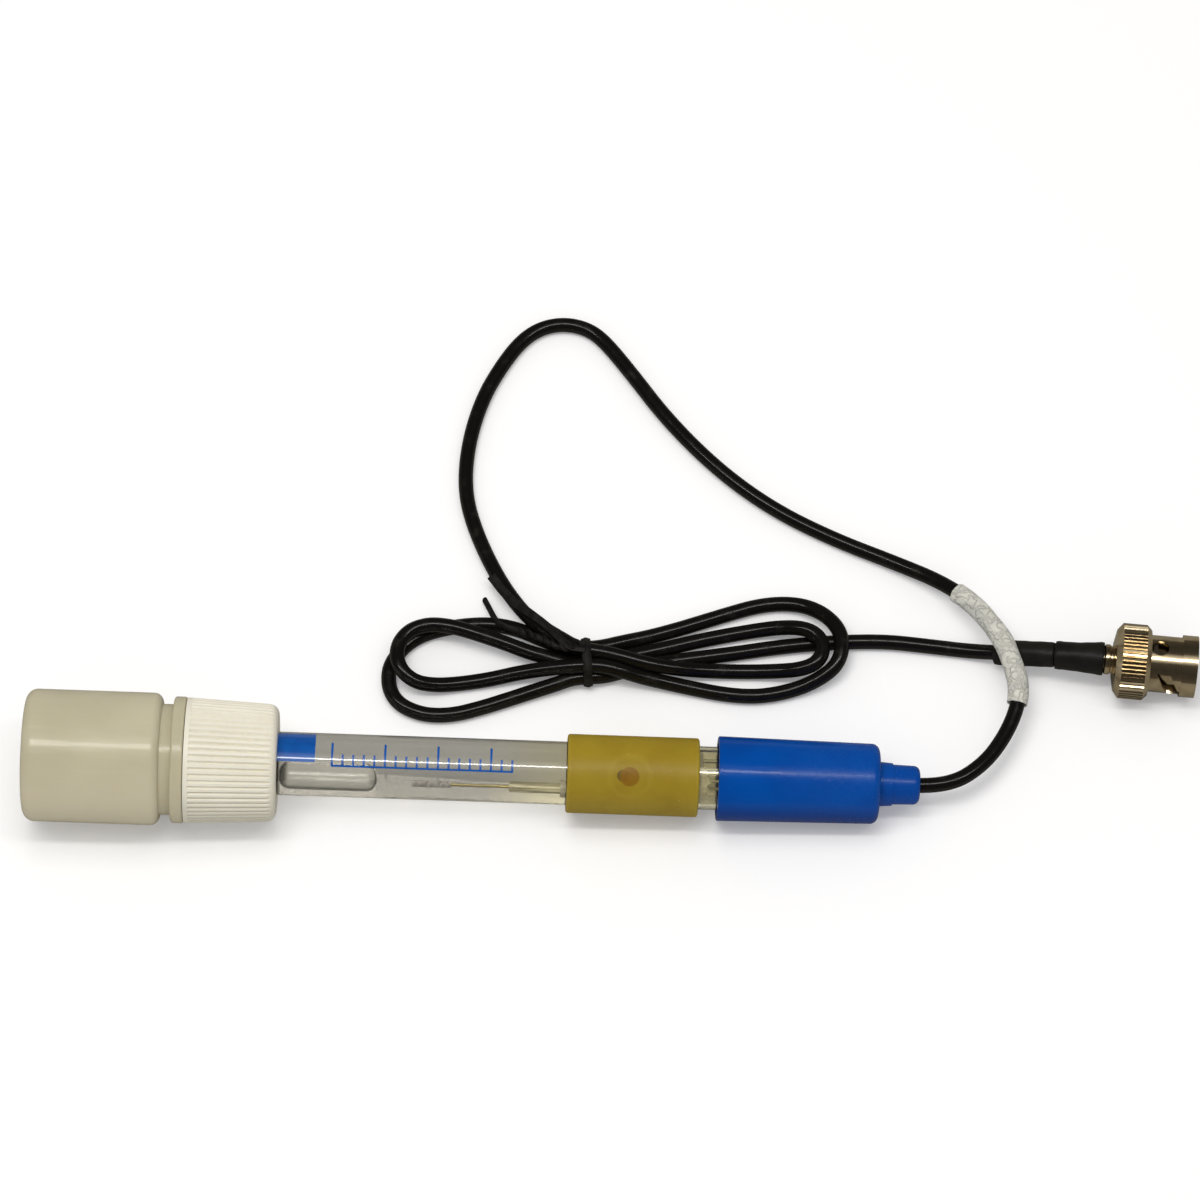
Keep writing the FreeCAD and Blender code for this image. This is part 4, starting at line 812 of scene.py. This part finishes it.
insideLooks = {
    "ceramic_junction": {
        "colour": (0.72, 0.69, 0.62), "shade": (0.6, 0.57, 0.5), "patch": 0.6, "grain": 0.15,
        "rough": 0.8, "relief": 0.05,
    },
    "chloride_element": {
        "colour": (0.9, 0.88, 0.85), "shade": (0.48, 0.45, 0.43), "patch": 0.6, "grain": 0.22,
        "rough": 0.7, "relief": 0.15,
    },
    "sheath_seal": {
        "colour": (0.75, 0.72, 0.62), "shade": (0.66, 0.62, 0.5), "patch": 1.0, "grain": 0.2,
        "rough": 0.35, "relief": 0.05,
    },
    "seal_wad": {
        "colour": (0.7, 0.67, 0.57), "shade": (0.5, 0.47, 0.38), "patch": 1.3, "grain": 0.3,
        "rough": 0.55, "relief": 0.3,
    },
    "head_potting": {
        "colour": (0.03, 0.03, 0.035), "shade": (0.05, 0.05, 0.055), "patch": 3.0, "grain": 0.4,
        "rough": 0.35, "relief": 0.03,
    },
    "signal_lead": {
        "colour": (0.62, 0.58, 0.42), "shade": (0.5, 0.46, 0.32), "patch": 2.0, "grain": 0.3,
        "rough": 0.35, "relief": 0.01,
    },
}
for name, look in insideLooks.items():
    dress(moulded(name + "_finish", look), name)
silverLook = {
    "colour": (0.8, 0.7, 0.4), "shade": (0.6, 0.5, 0.25), "line": 0.1, "patch": 1.5,
    "rough": 0.35, "relief": 0.004,
}
tinLook = {
    "colour": (0.75, 0.72, 0.66), "shade": (0.6, 0.55, 0.45), "line": 0.1, "patch": 1.0,
    "rough": 0.3, "relief": 0.006,
}
brassLook = {
    "colour": (0.72, 0.52, 0.22), "shade": (0.55, 0.38, 0.15), "line": 0.2, "patch": 2.0,
    "rough": 0.3, "relief": 0.004,
}
dress(turnedMetal("silver", silverLook, electrodeFrame), "silver_wire")
tinFinish = turnedMetal("tinned_copper", tinLook, electrodeFrame)
dress(tinFinish, "screen_lead", "drain_lead", "solder_joint")
dress(turnedMetal("clamp_brass", brassLook, electrodeFrame), "cable_clamp")
dress(jacket(jacketLook), "cord_inlet")
sheathLook = {
    # the streak colour is painted highlight along the tube
    "colour": (0.46, 0.43, 0.3), "streak": (1.0, 0.95, 0.72), "streakNoise": (0.6, 2.0, 0.04),
    "streakShows": (0.44, 0.58), "shadow": (0.97, 0.95, 0.85), "rough": 0.1, "spread": 0.1,
    "relief": 0.03,
}


def sheathFinish(look):  # pale yellowish tube with painted highlights: bright lengthwise streaks
    surface = Surface("sheath_plastic")
    streak = surface.streaks(surface.inFrame(electrodeFrame), *look["streakNoise"])
    # painted highlights: bright lengthwise streaks in the colour
    streaked = surface.smooth(streak, *look["streakShows"])
    body = surface.shader(
        Base_Color=surface.mix(streaked, look["colour"], look["streak"]),
        Roughness=look["rough"] + streak * look["spread"],
        Normal=surface.bump(streak, look["relief"]), Specular_IOR_Level=1.0,
    )
    return surface.done(seeThrough(surface, body, look["shadow"]))


dress(sheathFinish(sheathLook), "sheath_tube")
print("glass filled")

# Paste smeared in the bore beside the wad

smear = {
    "radius": 4.86, "thick": 0.1, "thinning": 0.6, "from": 126.6, "to": 129.6, "low": -66,
    "high": 27, "rows": 31, "steps": 9, "ragged": 0.9, "wander": 0.8, "peak": 0.55, "bow": 6.4,
}


def smearShape():  # a thin curved sheet with a ragged front edge
    random.seed(5)
    vertices, faces = [], []
    rows, steps = smear["rows"], smear["steps"]
    ragged = [random.uniform(-smear["ragged"], smear["ragged"]) for _ in range(rows + 1)]
    for depth in (0.0, smear["thick"]):
        for i in range(rows):
            share = i / (rows - 1)
            angle = math.radians(smear["low"] + (smear["high"] - smear["low"]) * share)
            edge = smear["to"] + (ragged[i] + ragged[i + 1]) / 2 * smear["wander"]
            edge -= smear["bow"] * abs(share - smear["peak"]) ** 2
            for j in range(steps):
                along = smear["from"] + (edge - smear["from"]) * j / (steps - 1)
                radius = smear["radius"] - depth * (1.0 - smear["thinning"] * j / (steps - 1))
                spot = Vector((along, radius * math.sin(angle), radius * math.cos(angle)))
                vertices.append(electrodeFrame @ (spot * mm))
    for layer in (0, 1):
        for i in range(rows - 1):
            for j in range(steps - 1):
                k = layer * rows * steps + i * steps + j
                face = (k, k + 1, k + steps + 1, k + steps)
                faces.append(face if layer == 0 else tuple(reversed(face)))
    rim = [i * steps for i in range(rows)] + [(rows - 1) * steps + j for j in range(1, steps)]
    rim += [i * steps + steps - 1 for i in reversed(range(rows - 1))]
    rim += list(reversed(range(1, steps - 1)))
    under = rows * steps
    for k, following in zip(rim, rim[1:] + rim[:1]):
        faces.append((k, k + under, following + under, following))
    return vertices, faces


smearLook = {
    "colour": (0.84, 0.79, 0.62), "shade": (0.62, 0.57, 0.4), "patch": 1.0, "grain": 0.3,
    "rough": 0.5, "relief": 0.2,
}
sealSmear = facesOf("seal_smear", *smearShape())
sealSmear.data.materials.append(moulded("seal_paste", smearLook))

# Plain depth marks printed on the glass

marks = {
    "radius": 6.02, "pitch": 2.0, "start": 58.0, "count": 18, "wide": 0.42, "line": (-1, 2.5),
    "short": 22, "tall": 46, "tallEvery": 5, "band": (44.5, 55.0, 6, 74), "cell": (2, 4),
}


def patch(vertices, faces, start, end, low, high):  # a curved oblong on the tube, in degrees
    along = max(2, int((end - start) / marks["cell"][0]) + 2)
    across = max(2, int((high - low) / marks["cell"][1]) + 1)
    first = len(vertices)
    for a in spread(start, end, along):
        for angle in spread(math.radians(low), math.radians(high), across):
            y, z = marks["radius"] * math.sin(angle), marks["radius"] * math.cos(angle)
            vertices.append(electrodeFrame @ (Vector((a, y, z)) * mm))
    for i in range(along - 1):
        for j in range(across - 1):
            k = first + i * across + j
            faces.append((k, k + 1, k + across + 1, k + across))


vertices, faces = [], []
patch(vertices, faces, *marks["band"])
lineEnd = marks["start"] + marks["pitch"] * (marks["count"] - 1) + marks["wide"]
patch(vertices, faces, marks["start"], lineEnd, *marks["line"])
for k in range(marks["count"]):
    start = marks["start"] + k * marks["pitch"]
    high = marks["short"] if k % marks["tallEvery"] else marks["tall"]
    patch(vertices, faces, start, start + marks["wide"], 0, high)
inkLook = {
    "colour": (0.0, 0.072, 0.34), "shade": (0.0, 0.09, 0.39), "patch": 2.0, "grain": 0.2,
    "rough": 0.3, "relief": 0.005, "more": {"Specular_IOR_Level": 0.3, **coat},
}
depthMarks = facesOf("depth_marks", vertices, faces)
depthMarks.data.materials.append(moulded("print_ink", inkLook))

# Amber sleeve

sleeveLook = {
    "colour": (0.335, 0.235, 0.014), "shade": (0.295, 0.2, 0.01), "light": (0.41, 0.31, 0.035),
    "cloudNoise": (8.0, 3.0), "fineNoise": (0.5, 3.0), "hole": 114.4,
    "holeColour": (0.235, 0.113, 0.003), "holeEdge": (1.7, 1.95), "holeShare": 0.9,
    # the spot is a painted shadow crescent inside the hole, with its own colour and edge
    "spot": (1.3, 0.15), "holeShadowColour": (0.105, 0.07, 0.01), "holeShadowEdge": (1.0, 1.25),
    "holeShadowShare": 0.8, "halo": 3.9, "haloWide": 0.9, "haloShare": 0.22,
    "speck": (0.6, 0.5, 0.15), "speckNoise": (0.55, 1.0), "speckShows": (0.74, 0.8),
    "speckShare": 0.5, "middle": 115.1, "ends": (11.6, 12.5), "endShare": 0.35,
    "rough": 0.4, "spread": 0.25, "relief": 0.05,
    "more": {
        "Subsurface_Weight": 0.35, "Subsurface_Radius": (0.003, 0.0018, 0.0004),
        "Specular_IOR_Level": 0.35,
    },
}


def sleeveFinish(look):  # clear amber silicone: the refill hole under it shows as a darker disc, with a painted shadow crescent on one side
    surface = Surface("amber_silicone")
    along, across, above = surface.inFrame(electrodeFrame)
    cloud = surface.noise(*look["cloudNoise"])
    fine = surface.noise(*look["fineNoise"])
    clouded = surface.smooth(cloud, *usual["shadeShows"])
    colour = surface.mix(clouded, look["colour"], look["shade"])
    facing = above > 0.0
    fromHole = along - look["hole"]
    away = surface.fromAxis(fromHole, across)
    # painted shadow: a darker crescent inside the hole, off to one side
    back, aside = look["spot"]
    awayHoleShadow = surface.fromAxis(fromHole + back, across - aside)
    halo = surface.fade(abs(away - look["halo"]), 0.0, look["haloWide"]) * facing
    colour = surface.mix(halo * look["haloShare"], colour, look["light"])
    spot = surface.fade(awayHoleShadow, *look["holeShadowEdge"]) * facing
    colour = surface.mix(spot * look["holeShadowShare"], colour, look["holeShadowColour"])
    disc = surface.fade(away, *look["holeEdge"]) * facing
    colour = surface.mix(disc * look["holeShare"], colour, look["holeColour"])
    specks = surface.smooth(surface.noise(*look["speckNoise"]), *look["speckShows"])
    colour = surface.mix(specks * look["speckShare"], colour, look["speck"])
    ends = surface.smooth(abs(along - look["middle"]), *look["ends"])
    colour = surface.mix(ends * look["endShare"], colour, look["light"])
    rough = look["rough"] + swing(fine, look["spread"])
    return surface.solid(look, colour, rough, fine + cloud)


dress(sleeveFinish(sleeveLook), "fill_sleeve")

# Blue head

headLook = {
    "colour": (0.0, 0.066, 0.345), "shade": (0.0, 0.054, 0.3), "cloudNoise": (10.0, 3.0),
    # the low colour is painted shade on the lower side
    "low": (0.0, 0.026, 0.175), "paintedLowAcross": (-7.5, -3.5), "paintedLowShare": 0.8,
    "wornFrom": (138.0, 152.0), "wornDrift": 12.0, "worn": 0.11, "rough": 0.14, "spread": 0.2,
    "dentNoise": (0.7, 3.0), "dents": 0.7, "streakNoise": (0.8, 2.0, 0.12), "streaks": 0.9,
    "pitNoise": (1.1, 1.0), "pitShows": (0.68, 0.76), "relief": 0.013,
    "more": {"Specular_IOR_Level": 0.28},
}


def headFinish(look):  # moulded blue, duller toward the boss, with small dents in the highlight and painted shade on the lower side
    surface = Surface("blue_plastic")
    spot = surface.inFrame(electrodeFrame)
    along, across, _ = spot
    cloud = surface.noise(*look["cloudNoise"])
    dents = surface.noise(*look["dentNoise"])
    streak = surface.streaks(spot, *look["streakNoise"])
    clouded = surface.smooth(cloud, *usual["shadeShows"])
    colour = surface.mix(clouded, look["colour"], look["shade"])
    # painted shade: darker on the lower side
    paintedLowShading = surface.fade(across, *look["paintedLowAcross"]) * look["paintedLowShare"]
    colour = surface.mix(paintedLowShading, colour, look["low"])
    worn = surface.smooth(along + swing(cloud, look["wornDrift"]), *look["wornFrom"])
    rough = look["rough"] + worn * look["worn"] + swing(dents, look["spread"])
    pits = surface.smooth(surface.noise(*look["pitNoise"]), *look["pitShows"])
    height = dents * look["dents"] + streak * look["streaks"] + cloud + pits
    return surface.solid(look, colour, rough, height)


dress(headFinish(headLook), "head_cap")

# Bayonet plug

nickelLook = {
    "colour": (0.86, 0.72, 0.5), "shade": (0.62, 0.5, 0.32), "line": 0.12, "patch": 3.0,
    "rough": 0.15, "relief": 0.003,
}
goldLook = {
    "colour": (0.85, 0.62, 0.25), "shade": (0.7, 0.48, 0.18), "line": 0.1, "patch": 1.0,
    "rough": 0.2, "relief": 0.003,
}
springLook = {
    "colour": (0.5, 0.48, 0.45), "shade": (0.38, 0.36, 0.33), "line": 0.1, "patch": 1.0,
    "rough": 0.28, "relief": 0.003,
}
insulatorLook = {
    "colour": (0.75, 0.74, 0.7), "shade": (0.68, 0.66, 0.6), "patch": 2.0, "grain": 0.2,
    "rough": 0.4, "relief": 0.01,
}
gasketLook = {
    "colour": (0.03, 0.02, 0.014), "shade": (0.04, 0.028, 0.018), "patch": 2.0, "grain": 0.2,
    "rough": 0.5, "relief": 0.02,
}
nickelFinish = turnedMetal("nickel", nickelLook, plugFrame)
dress(nickelFinish, "plug_ferrule", "plug_body", "plug_outer_contact")
dress(nickelFinish, "plug_thrust_washer", "plug_nut")
dress(turnedMetal("gold", goldLook, plugFrame), "plug_centre_pin")
dress(turnedMetal("spring_steel", springLook, plugFrame), "plug_spring_washer")
dress(moulded("plug_white", insulatorLook), "plug_insulator")
dress(moulded("gasket_rubber", gasketLook), "plug_gasket")
print("materials on")

# What rides on what

bodies = frame["record"]["behaviour"]["bodies"]
mainBody = next(name for name, members in bodies.items() if "head_cap" in members)
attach(cord, mainBody)
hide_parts("cord_lead", "cord_hank", "cord_tail")
for piece, node, finish in (
    (markerSleeve, "cable_label", "marker_film"),
    (shrinkRear, "shrink_tube_rear", "shrink_tube"),
    (shrinkFront, "shrink_tube_front", "shrink_tube"),
    (tieBand, "twist_tie", "tie_plastic"),
):
    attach(piece, mainBody)
    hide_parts(node)
for piece in (tieStrandLong, tieStrandShort, tieTail):
    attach(piece, mainBody)
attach(depthMarks, mainBody)
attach(sealSmear, mainBody)

# Table, light and camera

table = {
    "half": 3.0, "height": -0.00002, "rough": 0.9, "colour": (0.84, 0.84, 0.85),
    "glow": (0.16, 0.16, 0.165), "mirrored": (0.22, 0.21, 0.18), "through": (0.42, 0.415, 0.4),
    "lit": (0.32, 0.317, 0.305),
}


def tableFinish():  # pale paper that shows white to the camera and keeps the shadow
    surface = Surface("table_paper")
    camera, glossy = surface.lightPath("Is Camera Ray"), surface.lightPath("Is Glossy Ray")
    through = surface.lightPath("Is Transmission Ray")
    glow = surface.mix(camera, (0.0, 0.0, 0.0), table["glow"])
    colour = surface.mix(glossy, table["colour"], table["mirrored"])
    beyond = through * (1.0 - camera)  # what shows through the glass: a flat light grey
    glow = surface.mix(beyond, glow, table["lit"])
    colour = surface.mix(beyond, colour, table["through"])
    return surface.done(
        surface.shader(
            Base_Color=colour, Roughness=table["rough"], Specular_IOR_Level=0.1,
            Emission_Color=glow, Emission_Strength=1.0,
        )
    )


half, height = table["half"], table["height"]
floorMesh = bpy.data.meshes.new("table_top")
corners = [(x * half, y * half, height) for x, y in ((-1, -1), (1, -1), (1, 1), (-1, 1))]
floorMesh.from_pydata(corners, [], [(0, 1, 2, 3)])
floorMesh.materials.append(tableFinish())
tableTop = place("table_top", floorMesh)

studio = {  # what each kind of ray sees; the stops run from the horizon to overhead
    "mirrored": [
        (0.0, (0.07, 0.06, 0.05)), (0.6, (0.03, 0.028, 0.024)), (0.94, (0.045, 0.04, 0.033)),
        (1.0, (0.75, 0.73, 0.68)),
    ],
    "diffuse": (0.5, 0.495, 0.485), "through": (0.58, 0.575, 0.55), "backdrop": (1.0, 1.0, 1.0),
}
world = bpy.data.worlds.new("studio")
world.use_nodes = True
bpy.context.scene.world = world
sky = Surface("studio", world.node_tree)
direction = sky.add("ShaderNodeTexCoord", output="Generated")
upward = sky.add("ShaderNodeSeparateXYZ", None, {0: direction}, "Z")
room = sky.add("ShaderNodeValToRGB", {"stops": studio["mirrored"]}, {0: upward})
room = sky.mix(sky.lightPath("Is Glossy Ray"), studio["diffuse"], room)
shown = sky.mix(sky.lightPath("Is Transmission Ray"), room, studio["through"])
shown = sky.mix(sky.lightPath("Is Camera Ray"), shown, studio["backdrop"])
backdrop = sky.add("ShaderNodeBackground", None, {"Color": shown, "Strength": 1.0})
sky.add("ShaderNodeOutputWorld", None, {"Surface": backdrop})

lamps = {
    "softbox": {"place": (-0.1, 0.04, 0.9), "size": (0.6, 0.34), "power": 2.8, "mirrored": False},
    "strip": {"place": (0.0, -0.03, 0.95), "size": (1.1, 0.07), "power": 2.7, "mirrored": True},
}
lampColour = (1.0, 0.985, 0.95)
for name, look in lamps.items():
    light = bpy.data.lights.new(name, "AREA")
    light.shape = "RECTANGLE"
    light.size, light.size_y = look["size"]
    light.energy = look["power"]
    light.color = lampColour
    lamp = place(name, light)
    lamp.location = look["place"]
    lamp.visible_glossy = look["mirrored"]
    lamp.rotation_euler = (-Vector(look["place"])).to_track_quat("-Z", "Y").to_euler()

view = {
    "look": (0.023316, 0.040926, 0.0), "elevation": 65.0, "azimuth": 1.278, "away": 1.0,
    "lens": 153.97, "sensor": 36.0, "near": 0.01, "far": 20.0,
}
rise, turn = math.radians(view["elevation"]), math.radians(view["azimuth"])
back = Vector((math.cos(rise) * math.sin(turn), -math.cos(rise) * math.cos(turn), math.sin(rise)))
right = Vector((math.cos(turn), math.sin(turn), 0))
camera = place("camera", bpy.data.cameras.new("camera"))
camera.data.lens = view["lens"]
camera.data.sensor_width = view["sensor"]
camera.data.clip_start, camera.data.clip_end = view["near"], view["far"]
camera.matrix_world = Matrix.Translation(Vector(view["look"]) + back * view["away"]) @ (
    Matrix((right, back.cross(right), back)).transposed().to_4x4()
)
bpy.context.scene.camera = camera
bpy.context.scene.view_settings.view_transform = "Standard"
print("table, lamps and camera set")
